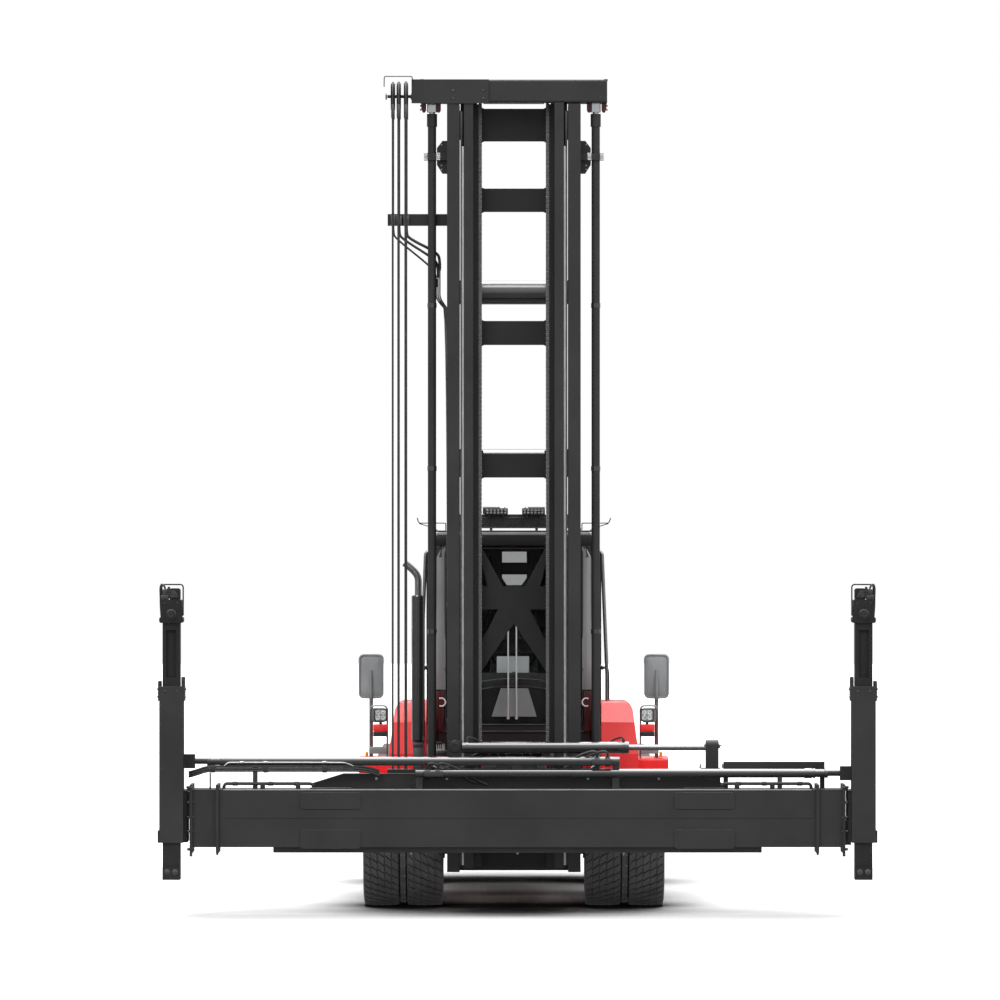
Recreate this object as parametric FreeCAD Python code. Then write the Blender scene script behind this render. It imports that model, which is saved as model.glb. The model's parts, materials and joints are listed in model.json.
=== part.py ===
import FreeCAD, Part
import math
import os

# Empty container handler: a counterbalanced truck with a two-stage mast and a side-lift spreader.
# Millimetres, +Z up. The machine faces -Y, so +X is its own left side.
# Lengths along the machine are given as "ahead", the distance in front of the drive axle.

V = FreeCAD.Vector

# overall layout
column_front = 1865.0
lock_pin_reach = 60.0
front_reach = column_front + lock_pin_reach
rear_reach = 4900.0
wheelbase = 3750.0
axle_y = (front_reach - rear_reach) / 2
running_gap = 6.0

# wheels
tyre_radius = 560.0
tyre_width = 315.0
rim_radius = 254.0
rim_wall = 12.0
bead_setback = 21.5
rim_width = tyre_width - 2 * bead_setback
rim_lip = 20.0
dual_inner_face = 614.5
dual_gap = 60.0
inner_dual_x = dual_inner_face + tyre_width / 2
outer_dual_x = inner_dual_x + tyre_width + dual_gap
steer_inner_face = 902.5
steer_wheel_x = steer_inner_face + tyre_width / 2
kingpin_x = 860.0
kingpin_radius = 32.0
spindle_radius = 60.0
steer_spindle_radius = 45.0

# chassis
frame_inner_x = 290.0
frame_plate = 36.0
frame_bottom = 640.0
frame_top = 1250.0
frame_rear = 4380.0
axle_seat = 820.0
axle_tube_radius = 115.0
step_inner_x = 600.0
seat_gap = 0.3
deck_thickness = 30.0
deck_half_width = 1200.0
deck_front = -640.0
deck_rear = -3700.0
tank_inner_x = 420.0
tank_outer_x = 1150.0
tank_bottom = 560.0
tank_front = -760.0
tank_rear = -2400.0
weight_half_width = 1190.0
weight_bottom = 480.0
weight_top = 1760.0
weight_front = -4440.0

# mast
mast_front = 1000.0
rail_depth = 300.0
inner_rail_depth = 288.0
outer_rail_x = 573.0
outer_rail_lip_x = 465.0
outer_web = 30.0
rail_flange = 34.0
outer_rail_bottom = 340.0
outer_rail_top = 6922.0
header_gap = 14.0
inner_web_x = 428.0
inner_web = 28.0
inner_front_lip_x = 349.0
inner_rear_lip_x = 281.0
inner_rail_bottom = 375.0
inner_rail_top = outer_rail_top + header_gap
guide_rib_x = 459.0
guide_rib_width = 40.0
header_height = 197.0
header_half_width = 800.0
header_left_reach = 877.0
pivot_ahead = 540.0
pivot_height = 640.0
pivot_radius = 38.0
tilt_eye_height = 1420.0
tilt_eye_ahead = 610.0
tilt_base_ahead = -760.0
tilt_base_height = 1130.0
tilt_x = 520.0
tilt_barrel_radius = 52.0
tilt_rod_radius = 30.0
tilt_pin_radius = 24.0
lift_x = 703.0
lift_ahead = 850.0
lift_barrel_radius = 36.0
lift_rod_radius = 26.0
lift_barrel_foot = 1150.0
lift_barrel_top = outer_rail_top - 77.0
lift_head = 77.0
clamp_height = outer_rail_top - 445.0

# carriage and spreader
spreader_offset = 31.0
carriage_bottom = 760.0
carriage_top = 1400.0
carriage_plate_x = 250.0
carriage_plate = 30.0
carriage_front = 1290.0
beam_half_length = 2775.0
beam_bottom = 590.0
beam_top = 1079.0
beam_front = 1750.0
beam_depth = 390.0
beam_wall = 14.0
arm_gap = 8.0
arm_wall = 14.0
column_set_out = 151.5
column_x = beam_half_length + column_set_out
column_sleeve_width = 202.0
column_sleeve_depth = 236.0
column_wall = 18.0
column_sleeve_bottom = 632.0
column_sleeve_top = 1831.0
collar_top = 1949.0
column_width = 147.0
column_gap = 6.0
slide_pad = column_gap - 0.3
column_foot_bottom = 319.0
column_head_bottom = 2490.0
column_head_top = 2819.0
head_flange = 51.0
lock_pin_height = 2563.0

# fenders, cab and hood
fender_radius = 650.0
fender_top = 1293.0
fender_set_out = 40.5
housing_top = 1775.0
cab_front = -300.0
cab_rear = -2000.0
cab_bottom = 1400.0
cab_top = 3255.0
cab_wall = 55.0
cab_half_width = 740.0
cab_corner = 120.0
cab_nose_x = 610.0
door_front = -700.0
door_rear = -1530.0
door_bottom = 1490.0
door_top = 3110.0
door_gap = 10.0
hood_front = -2090.0
hood_rear = -3600.0
hood_top = 1900.0
hood_half_width = 620.0
hood_wall = 30.0
exhaust_x = cab_half_width + 105.0
exhaust_ahead = 432.0

# mast details
crossbar_depth = 105.0
crossbar_bow_x = 460.0
outer_bar_drops = ((3195.0, 2955.0), (1702.0, 1502.0), (285.0, 40.0))
outer_crossbar_spans = [(outer_rail_top - low, outer_rail_top - high) for low, high in outer_bar_drops]
inner_bar_drops = ((321.0, 40.0), (928.0, 727.0), (2073.0, 1866.0), (3214.0, 3011.0), (4348.0, 4151.0))
inner_crossbar_spans = [(inner_rail_top - low, inner_rail_top - high) for low, high in inner_bar_drops]
crossbar_flare = 13.0
chain_x = 289.0
chain_ahead = 860.0
chain_sheave_radius = 85.0
chain_sheave_rise = 89.0
chain_front_end = 1380.0
chain_rear_end = outer_crossbar_spans[0][1] - 10.0
hose_x = (1037.0, 987.0, 925.0)
hose_sheave_height = inner_rail_top + 54.0
hose_ahead = 940.0
hose_sheave_radius = 115.0
hose_front_end = 1150.0
hose_rear_end = outer_rail_top - 1035.0
hose_radius = 11.0

guide_roller_radius = rail_depth / 2 - rail_flange - seat_gap
roller_radius = inner_rail_depth / 2 - rail_flange - seat_gap

# carriage and spreader details
carriage_rail_x = 640.0
carriage_rail_spans = ((700.0, 830.0), (1110.0, 1240.0))
shift_height = 1417.0
shift_ahead = 1260.0
hook_x = 100.0
hook_half_width = 50.0
shift_boss_x = -500.0
shift_barrel_radius = 50.0
shift_rod_radius = 24.0
shift_barrel_end = 977.0
shift_lug_x = 1656.0
frame_plate_top = 1203.0
arm_cylinder_height = {-1: 1313.0, 1: 1211.0}
arm_cylinder_ahead = 1600.0
arm_barrel_end = beam_half_length - 270.0
arm_barrel_length = 3370.0
arm_barrel_radius = 38.0
arm_rod_radius = 24.0
arm_rod_inside = arm_barrel_length - 120.0
arm_inner_reach = beam_half_length - 125.0
lock_pin_radius = 28.0
foot_pad_top = 426.0
hinge_out = 12.0
hinge_radius = 11.0
hinge_heights = (1700.0, 2850.0)
hood_hinge_ahead = -2080.0
hood_hinge_height = 1908.0
tow_pin_radius = 27.0
tow_shelf = 900.0
tow_set_in = 110.0


def ahead(distance):
    """Y of a point this far in front of the drive axle."""
    return axle_y - distance


def block(x0, x1, y0, y1, z0, z1):
    """Box between two corners, given in any order."""
    low = V(min(x0, x1), min(y0, y1), min(z0, z1))
    return Part.makeBox(abs(x1 - x0), abs(y1 - y0), abs(z1 - z0), low)


def bar(start, end, radius):
    """Round bar between two points."""
    line = V(*end) - V(*start)
    return Part.makeCylinder(radius, line.Length, V(*start), line)


def tube(start, end, outer, inner):
    """Round tube between two points."""
    return bar(start, end, outer).cut(bar(start, end, inner))


def joined(shapes):
    """One clean solid from shapes that meet or overlap."""
    result = shapes[0]
    if len(shapes) > 1:
        result = result.fuse(shapes[1:])
    return result.removeSplitter()


def group(shapes):
    """Separate solids kept together in one node."""
    return Part.makeCompound(shapes)


def mirrored(shape):
    """The same piece on the other side of the machine."""
    return shape.mirror(V(0, 0, 0), V(1, 0, 0))


def rounded(shape, radius, axis):
    """Round the edges of a block that run along an axis: x, y or z."""
    direction = {"x": V(1, 0, 0), "y": V(0, 1, 0), "z": V(0, 0, 1)}[axis]
    edges = []
    for edge in shape.Edges:
        if edge.Curve.TypeId == "Part::GeomLine":
            if abs(abs(edge.tangentAt(edge.FirstParameter).dot(direction)) - 1) < 1e-6:
                edges.append(edge)
    return shape.makeFillet(radius, edges)


def side_plate(outline, x0, x1):
    """Plate with an outline of (Y, Z) points, from x0 to x1."""
    points = [V(x0, y, z) for y, z in outline]
    face = Part.Face(Part.makePolygon(points + points[:1]))
    return face.extrude(V(x1 - x0, 0, 0))


def front_plate(outline, y0, y1):
    """Plate with an outline of (X, Z) points, from y0 to y1."""
    points = [V(x, y0, z) for x, z in outline]
    face = Part.Face(Part.makePolygon(points + points[:1]))
    return face.extrude(V(0, y1 - y0, 0))


def flat_plate(outline, z0, z1):
    """Plate with an outline of (X, Y) points, from z0 to z1."""
    points = [V(x, y, z0) for x, y in outline]
    face = Part.Face(Part.makePolygon(points + points[:1]))
    return face.extrude(V(0, 0, z1 - z0))


def bent_path(points, radius):
    """Wire through the points, with an arc of this radius at each corner."""
    edges = []
    last = V(*points[0])
    for i in range(1, len(points) - 1):
        corner = V(*points[i])
        back = (V(*points[i - 1]) - corner).normalize()
        onward = (V(*points[i + 1]) - corner).normalize()
        half_turn = (math.pi - back.getAngle(onward)) / 2
        trim = radius * math.tan(half_turn)
        first = corner + back * trim
        second = corner + onward * trim
        middle_way = (back + onward).normalize()
        middle = corner + middle_way * (radius / math.cos(half_turn) - radius)
        edges.append(Part.LineSegment(last, first).toShape())
        edges.append(Part.Arc(first, middle, second).toShape())
        last = second
    edges.append(Part.LineSegment(last, V(*points[-1])).toShape())
    return Part.Wire(edges)


def bent_bar(points, radius, bend):
    """Round bar along a path with bends."""
    path = bent_path(points, bend)
    start = V(*points[0])
    way = V(*points[1]) - start
    section = Part.Wire([Part.Circle(start, way, radius).toShape()])
    return path.makePipeShell([section], True, False)


def revolved(outline, centre_x, y, z):
    """Solid of revolution about a line along X; outline is a closed wire in X and radius."""
    shape = Part.Face(outline).revolve(V(0, 0, 0), V(1, 0, 0), 360)
    shape.translate(V(centre_x, y, z))
    return shape


# wheels

def tyre(centre_x, y):
    """Tyre with round shoulders, standing on the ground."""
    half = tyre_width / 2
    bead = half - 45
    waist = rim_radius + 30
    belly = (rim_radius + tyre_radius) / 2
    shoulder = tyre_radius - 26
    line = Part.LineSegment
    edges = [
        line(V(-bead, 0, rim_radius), V(bead, 0, rim_radius)),
        line(V(bead, 0, rim_radius), V(bead + 6, 0, waist)),
        Part.Arc(V(bead + 6, 0, waist), V(half, 0, belly), V(half - 12, 0, shoulder)),
        Part.Arc(V(half - 12, 0, shoulder), V(half - 18, 0, tyre_radius - 10), V(half - 34, 0, tyre_radius - 4)),
        Part.Arc(V(half - 34, 0, tyre_radius - 4), V(0, 0, tyre_radius), V(34 - half, 0, tyre_radius - 4)),
        Part.Arc(V(34 - half, 0, tyre_radius - 4), V(18 - half, 0, tyre_radius - 10), V(12 - half, 0, shoulder)),
        Part.Arc(V(12 - half, 0, shoulder), V(-half, 0, belly), V(-bead - 6, 0, waist)),
        line(V(-bead - 6, 0, waist), V(-bead, 0, rim_radius)),
    ]
    return revolved(Part.Wire([edge.toShape() for edge in edges]), centre_x, y, tyre_radius)


def rim_band(centre_x, y):
    """Rim well with a lip each side, open in the middle."""
    half = rim_width / 2
    z = tyre_radius
    band = tube((centre_x - half, y, z), (centre_x + half, y, z), rim_radius, rim_radius - rim_wall)
    pieces = [band]
    for side in (-1, 1):
        edge = centre_x + side * half
        inner = edge - side * rim_wall
        pieces.append(tube((inner, y, z), (edge, y, z), rim_radius + rim_lip, rim_radius - rim_wall))
    return pieces


def front_rim():
    """Two rim bands on one hub with a planetary end cover."""
    y = ahead(0)
    z = tyre_radius
    disc_x = (inner_dual_x + outer_dual_x) / 2
    pieces = rim_band(inner_dual_x, y) + rim_band(outer_dual_x, y)
    pieces.append(tube((disc_x - 90, y, z), (disc_x + 90, y, z), rim_radius - 2, rim_radius - rim_wall))
    pieces.append(bar((disc_x - 10, y, z), (disc_x + 10, y, z), rim_radius - rim_wall + 2))
    pieces.append(bar((disc_x - 230, y, z), (disc_x + 150, y, z), 165))
    pieces.append(bar((disc_x + 150, y, z), (disc_x + 215, y, z), 128))
    rim = joined(pieces)
    bore = bar((disc_x - 240, y, z), (disc_x + 51, y, z), spindle_radius + 1)
    return rim.cut(bore)


def rear_rim():
    """Rim band with a dished disc and hub."""
    y = ahead(-wheelbase)
    z = tyre_radius
    pieces = rim_band(steer_wheel_x, y)
    disc_x = steer_wheel_x + 50
    pieces.append(bar((disc_x - 9, y, z), (disc_x + 9, y, z), rim_radius - rim_wall + 2))
    pieces.append(bar((disc_x - 60, y, z), (disc_x + 40, y, z), 120))
    pieces.append(bar((disc_x + 40, y, z), (disc_x + 70, y, z), 70))
    rim = joined(pieces)
    bore = bar((disc_x - 70, y, z), (disc_x + 31, y, z), steer_spindle_radius + 1)
    return rim.cut(bore)


def drive_axle():
    """Axle housing with differential and the two wheel spindles."""
    y = ahead(0)
    z = tyre_radius
    disc_x = (inner_dual_x + outer_dual_x) / 2
    housing = bar((-600, y, z), (600, y, z), axle_tube_radius)
    ball = Part.makeSphere(240, V(0, y, z)).common(block(-190, 190, y - 300, y + 300, z - 300, z + 300))
    flange = bar((600, y, z), (700, y, z), 150)
    spindle = bar((700, y, z), (disc_x + 50, y, z), spindle_radius)
    nose = bar((0, y, z), (0, y + 330, z), 110)
    seat_top = frame_bottom
    pieces = [housing, ball, nose]
    for side in (-1, 1):
        pad_x = side * (frame_inner_x + frame_plate / 2)
        pieces.append(block(pad_x - 60, pad_x + 60, y - 110, y + 110, z, seat_top))
    pieces += [flange, spindle, mirrored(flange), mirrored(spindle)]
    return joined(pieces)


def steer_axle():
    """Welded axle beam with a steering cylinder and a fork at each end."""
    y = ahead(-wheelbase)
    z = tyre_radius
    fork = 170
    yoke_thick = 36
    pieces = [block(-600, 600, y - 110, y + 110, z - 120, z + 120)]
    for side in (-1, 1):
        arm = flat_plate([(side * 560, y - 110), (side * 560, y + 110), (side * (kingpin_x + 10), y + 60),
                          (side * (kingpin_x + 10), y - 60)], z - fork - yoke_thick, z + fork + yoke_thick)
        gap = block(side * (kingpin_x - 150), side * (kingpin_x + 80), y - 200, y + 200, z - fork, z + fork)
        pieces.append(arm.cut(gap))
    beam = joined(pieces)
    for side in (-1, 1):
        pin = bar((side * kingpin_x, y, z - 300), (side * kingpin_x, y, z + 300), kingpin_radius + 0.5)
        beam = beam.cut(pin)
    hanger = block(-160, 160, y - 90, y + 90, z + 120, axle_seat)
    cylinder = bar((-300, y + 175, z + 20), (300, y + 175, z + 20), 62)
    saddle = block(-60, 60, y + 110, y + 170, z - 60, z + 100)
    return joined([beam, hanger, cylinder, saddle])


def knuckle():
    """Steering knuckle with its kingpin and wheel spindle."""
    y = ahead(-wheelbase)
    z = tyre_radius
    pin = bar((kingpin_x, y, z - 205), (kingpin_x, y, z + 205), kingpin_radius)
    body = rounded(block(kingpin_x - 70, kingpin_x + 75, y - 75, y + 75, z - 164, z + 164), 30, "z")
    spindle = bar((kingpin_x + 70, y, z), (steer_wheel_x + 80, y, z), steer_spindle_radius)
    return joined([pin, body, spindle])


# chassis and body

def chassis_frame():
    """Two side plates with cross members, the mast lugs and the tilt brackets."""
    outer = frame_inner_x + frame_plate
    rear = ahead(-frame_rear)
    step_y = ahead(-wheelbase + 900)
    outline = [(ahead(430), frame_bottom), (step_y, frame_bottom), (step_y + 200, 800), (rear, 800),
               (rear, frame_top), (ahead(430), frame_top)]
    pieces = []
    for side in (-1, 1):
        pieces.append(side_plate(outline, side * frame_inner_x, side * outer))
    for y in (ahead(300), ahead(-700), ahead(-2150), ahead(-3300)):
        pieces.append(block(-outer, outer, y - 20, y + 20, 860, frame_top - 60))
    pieces.append(block(-outer, outer, ahead(430) - 30, ahead(430), 720, frame_top))
    saddle_y = ahead(-wheelbase)
    pieces.append(block(-outer, outer, saddle_y - 120, saddle_y + 120, axle_seat, axle_seat + 90))
    pivot_y = ahead(pivot_ahead)
    for side in (-1, 1):
        ear = side_plate([(ahead(400), frame_bottom), (ahead(400), 900), (pivot_y - 20, 760),
                          (pivot_y - 70, pivot_height + 30), (pivot_y - 70, pivot_height - 50),
                          (pivot_y - 20, pivot_height - 90), (ahead(400), 560)],
                         side * frame_inner_x, side * outer)
        pieces.append(ear)
    tilt_y = ahead(tilt_base_ahead)
    for side in (-1, 1):
        for offset in (-1, 1):
            x0 = side * tilt_x + offset * 36
            lug = block(x0 - 12, x0 + 12, tilt_y - 60, tilt_y + 130, tilt_base_height - 60, frame_top)
            pieces.append(lug)
        pieces.append(block(side * outer, side * (tilt_x + 48), tilt_y + 70, tilt_y + 130,
                            tilt_base_height - 60, frame_top))
        pieces.append(bar((side * (tilt_x - 40), tilt_y, tilt_base_height),
                          (side * (tilt_x + 40), tilt_y, tilt_base_height), tilt_pin_radius))
    frame = joined(pieces)
    bore = bar((-outer - 10, pivot_y, pivot_height), (outer + 10, pivot_y, pivot_height), pivot_radius + 0.5)
    housing = bar((-400, ahead(0), tyre_radius), (400, ahead(0), tyre_radius), axle_tube_radius + seat_gap)
    return frame.cut(bore).cut(housing)


def deck_plate():
    """Deck with the hatch under the hood and the bulkhead that carries the hood hinge."""
    deck = block(-deck_half_width, deck_half_width, ahead(deck_front), ahead(deck_rear),
                 frame_top, frame_top + deck_thickness)
    hatch = block(-frame_inner_x, frame_inner_x, ahead(-2180), ahead(-3270), frame_top - 1,
                  frame_top + deck_thickness + 1)
    hinge_y = ahead(hood_hinge_ahead)
    pieces = [deck.cut(hatch)]
    pieces.append(block(-hood_half_width, hood_half_width, hinge_y - 22, hinge_y - 12, frame_top + deck_thickness,
                        hood_hinge_height))
    for x in (-420, 420):
        pieces.append(bar((x - 60, hinge_y, hood_hinge_height), (x, hinge_y, hood_hinge_height), hinge_radius))
        pieces.append(block(x - 60, x, hinge_y - 22, hinge_y, hood_hinge_height - 8, hood_hinge_height))
    return joined(pieces)


def tank(side):
    """Side tank hung under the deck, with a step in front of it."""
    body = block(side * tank_inner_x, side * tank_outer_x, ahead(tank_front - 420), ahead(tank_rear),
                 tank_bottom, frame_top)
    body = rounded(body, 45, "y")
    hanger = block(side * (frame_inner_x + frame_plate), side * tank_inner_x, ahead(-1500), ahead(-1900),
                   950, 1100)
    return joined([body, hanger, step_box(side)])


def step_box(side):
    """Step box with two open treads in front of the side tank."""
    x0 = side * step_inner_x
    x1 = side * tank_outer_x
    front = ahead(tank_front)
    rear = ahead(tank_front - 420)
    wall = 8
    pieces = [block(x0, x0 + side * wall, front, rear, tank_bottom, frame_top)]
    for z in (tank_bottom, tank_bottom + 330):
        pieces.append(block(x0, x1, front, rear, z, z + 40))
    pieces.append(block(x0, x1, rear - wall, rear, tank_bottom, frame_top))
    return joined(pieces)


def counterweight():
    """Cast rear weight with round corners, a tow bore and a raised top."""
    rear = ahead(-rear_reach)
    front = ahead(weight_front)
    wide = weight_half_width
    outline = [(-wide, front), (wide, front), (wide, rear - 220), (wide - 260, rear),
               (260 - wide, rear), (-wide, rear - 220)]
    base = flat_plate(outline, weight_bottom, weight_top)
    upright = [edge for edge in base.Edges if abs(edge.Vertexes[0].Z - edge.Vertexes[-1].Z) > 100]
    rearward = [edge for edge in upright if edge.Vertexes[0].Y > front + 10]
    base = base.makeFillet(80, rearward)
    saddle = block(-frame_inner_x, frame_inner_x, front - 480, front, 860, weight_top)
    cap_front = front - 700
    cap = block(-wide + 150, wide - 150, cap_front, front, frame_top + 60, weight_top)
    body = joined([base, saddle, cap])
    sides = [block(side * frame_inner_x, side * (wide + 10), front - 480, front - 0.1, 0, frame_top + 60)
             for side in (-1, 1)]
    body = body.cut(group(sides))
    tow_slot = block(-130, 130, rear - 190, rear + 10, 640, 760)
    pocket = block(-130, 130, rear - 190, rear + 10, tow_shelf, tow_shelf + 220)
    tow_bore = bar((0, rear - tow_set_in, weight_bottom - 1), (0, rear - tow_set_in, tow_shelf + 1), tow_pin_radius)
    for part in (tow_slot, pocket, tow_bore):
        body = body.cut(part)
    return body


def engine():
    """Engine and gearbox as one plain block, with the radiator behind."""
    motor = block(-frame_inner_x + 20, frame_inner_x - 20, ahead(-2250), ahead(-3200), 760, 1680)
    mounts = [block(-frame_inner_x, frame_inner_x, ahead(u) - 60, ahead(u) + 60, 940, 1020) for u in (-2450, -3000)]
    cooler = block(-430, 430, ahead(-3420), ahead(-3560), frame_top + deck_thickness, 1700)
    return group([joined([motor] + mounts), cooler])


def fender(side):
    """Arched guard over the dual tyres with its flat step and the side housing beside the cab."""
    y = ahead(0)
    z = tyre_radius
    inner = dual_inner_face - 14.5
    outer = outer_dual_x + tyre_width / 2 + fender_set_out
    guard = tube((side * inner, y, z), (side * outer, y, z), fender_radius, fender_radius - 14)
    keep = side_plate([(y, z), (y - 900, z + 520), (y - 900, z + 1200), (y + 900, z + 1200), (y + 900, z + 380)],
                      side * inner, side * outer)
    guard = guard.common(keep)
    x0 = cab_half_width + 20
    foot = z + fender_radius - 60
    corner = (side * 1026, housing_top)
    housing = front_plate([(side * x0, foot), (side * 1084, foot), (side * 1078, 1400), (side * 1066, 1452),
                           corner, (side * x0, housing_top)], ahead(340), ahead(-600))
    shoulder = []
    for edge in housing.Edges:
        vertex = edge.Vertexes[0]
        if abs(edge.tangentAt(edge.FirstParameter).y) > 0.99 and abs(vertex.X - corner[0]) < 1 and vertex.Z > 1700:
            shoulder.append(edge)
    housing = housing.makeFillet(90, shoulder)
    brow = side_plate([(ahead(340), foot), (ahead(335), 1330), (ahead(225), 1600), (ahead(75), housing_top - 10),
                       (ahead(30), housing_top + 20), (ahead(-600), housing_top + 20), (ahead(-600), foot)],
                      side * (x0 - 10), side * 1120)
    housing = housing.common(brow)
    under = bar((side * 500, y, z), (side * (outer + 50), y, z), fender_radius - 1)
    step = rounded(block(side * 930, side * (outer - 4), ahead(250), ahead(-250), foot, fender_top), 30, "x")
    ledge = block(side * 600, side * (x0 + 200), ahead(-600), ahead(deck_front), frame_top - 90,
                  frame_top + deck_thickness)
    return joined([guard, housing.cut(under), step.cut(under), ledge])


# cab

def cab_solid(inset):
    """The cab's outer form, or the form inside it by an inset."""
    front = ahead(cab_front)
    rear = ahead(cab_rear)
    side_outline = [V(0, front + 40, cab_bottom), V(0, front, 2050), V(0, front + 110, cab_top - 150),
                    V(0, front + 260, cab_top), V(0, rear - 230, cab_top), V(0, rear - 60, cab_top - 130),
                    V(0, rear, cab_bottom)]
    plan_outline = [V(-cab_nose_x, front - 5, 0), V(cab_nose_x, front - 5, 0), V(cab_nose_x + 70, front + 50, 0),
                    V(cab_half_width, front + 330, 0), V(cab_half_width, rear - 120, 0),
                    V(cab_half_width - 90, rear + 5, 0), V(90 - cab_half_width, rear + 5, 0),
                    V(-cab_half_width, rear - 120, 0), V(-cab_half_width, front + 330, 0),
                    V(-cab_nose_x - 70, front + 50, 0)]
    side_wire = Part.makePolygon(side_outline + side_outline[:1])
    plan_wire = Part.makePolygon(plan_outline + plan_outline[:1])
    if inset:
        side_wire = side_wire.makeOffset2D(-inset, 2)
        plan_wire = plan_wire.makeOffset2D(-inset, 2)
    side_form = Part.Face(side_wire).extrude(V(4000, 0, 0))
    side_form.translate(V(-2000, 0, 0))
    plan_form = Part.Face(plan_wire).extrude(V(0, 0, 5000))
    front_form = rounded(block(inset - cab_half_width, cab_half_width - inset, front - 100, rear + 100,
                               cab_bottom - 300, cab_top - inset), cab_corner - inset, "y")
    return side_form.common(plan_form).common(front_form)


def cab_windows():
    """Blocks that cut the fixed windows: windscreen, rear window and rear quarter windows."""
    front = ahead(cab_front)
    rear = ahead(cab_rear)
    screen = block(-cab_nose_x + 10, cab_nose_x - 10, front - 50, front + 290, 1560, cab_top - 150)
    screen = rounded(screen, 95, "y")
    back = rounded(block(-560, 560, rear - 140, rear + 50, 1950, cab_top - 190), 80, "y")
    wide = cab_half_width + 130
    quarter = block(-wide, wide, ahead(door_rear - 90), ahead(door_rear - 320), 2050, cab_top - 190)
    return [screen, back, quarter]


def cab_shell():
    """Hollow cab with its floor, roof and pillars."""
    shell = cab_solid(0).cut(cab_solid(cab_wall))
    for window in cab_windows():
        shell = shell.cut(window)
    wide = cab_half_width + 130
    doorway = block(-wide, wide, ahead(door_front), ahead(door_rear), door_bottom, door_top)
    inside = block(-cab_half_width + cab_wall + 5, cab_half_width - cab_wall - 5, ahead(cab_front) - 10,
                   ahead(cab_rear) + 10, 0, 5000)
    shell = shell.cut(doorway.cut(inside))
    feet = []
    for side in (-1, 1):
        for foot_ahead in (-700, -1850):
            feet.append(bar((side * 520, ahead(foot_ahead), frame_top + deck_thickness),
                            (side * 520, ahead(foot_ahead), cab_bottom), 55))
    leaves = [hinge_leaf(side, z, False) for z in hinge_heights for side in (-1, 1)]
    return joined([shell] + feet + leaves)


def cab_glass():
    """Fixed panes set into the cab walls."""
    skin = cab_solid(24).cut(cab_solid(30))
    panes = []
    for window in cab_windows():
        panes += skin.common(window).Solids
    return group(panes)


def cab_door(side):
    """Side door with its window cut out."""
    x0 = side * (cab_half_width - cab_wall)
    x1 = side * cab_half_width
    panel = block(x0, x1, ahead(door_front - door_gap), ahead(door_rear + door_gap),
                  door_bottom + door_gap, door_top - door_gap)
    pane = block(x0 - side, x1 + side, ahead(door_front - 110), ahead(door_rear + 110), 2010, door_top - 110)
    lower = block(x0 - side, x1 + side, ahead(door_front - 110), ahead(door_rear + 110), door_bottom + 130, 1900)
    panel = panel.cut(pane).cut(lower)
    return joined([panel] + [hinge_leaf(side, z, True) for z in hinge_heights])


def hinge_leaf(side, z, on_door):
    """Half of a door hinge: a barrel on a short leaf, on the door or on the cab."""
    x = side * (cab_half_width + hinge_out)
    y = ahead(door_rear)
    low, high = (z + seat_gap, z + 50) if on_door else (z - 50, z)
    barrel = bar((x, y, low), (x, y, high), hinge_radius)
    reach = -60 if on_door else 60
    gap = 6 if on_door else -6
    leaf = block(side * cab_half_width, x, y - gap, y + reach, low, high)
    return joined([barrel, leaf])


def door_glass(side):
    """The two panes of a side door."""
    x0 = side * (cab_half_width - 24)
    x1 = side * (cab_half_width - 30)
    upper = block(x0, x1, ahead(door_front - 110), ahead(door_rear + 110), 2010, door_top - 110)
    lower = block(x0, x1, ahead(door_front - 110), ahead(door_rear + 110), door_bottom + 130, 1900)
    return group([upper, lower])


def operator_seat():
    """Seat with backrest, armrests and suspension base."""
    y = ahead(-1420)
    floor = cab_bottom + cab_wall
    base = block(-210, 210, y - 200, y + 200, floor, floor + 260)
    cushion = rounded(block(-250, 250, y - 270, y + 220, floor + 260, floor + 380), 40, "x")
    back = side_plate([(y + 220, floor + 300), (y + 300, floor + 320), (y + 390, floor + 980), (y + 290, floor + 990),
                       (y + 170, floor + 380), (y + 220, floor + 380)], -240, 240)
    return joined([base, cushion, back])


def steering_console():
    """Dash, steering column and wheel."""
    floor = cab_bottom + cab_wall
    front = ahead(cab_front) + 75
    dash = side_plate([(front, floor), (front, floor + 420), (front + 60, floor + 560), (front + 200, floor + 500),
                       (front + 160, floor)], -300, 300)
    column = bar((0, front + 110, floor + 480), (0, front + 400, floor + 720), 35)
    way = (V(0, front + 400, floor + 720) - V(0, front + 110, floor + 480)).normalize()
    centre = V(0, front + 400, floor + 720)
    ring = Part.makeTorus(190, 16, centre, way)
    spoke = bar((-180, front + 400, floor + 720), (180, front + 400, floor + 720), 14)
    dash = dash.common(cab_solid(cab_wall))
    side_box = block(290, 420, ahead(-1150), ahead(-1600), floor, floor + 520)
    return group([joined([dash, column, ring, spoke]), side_box])


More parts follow.
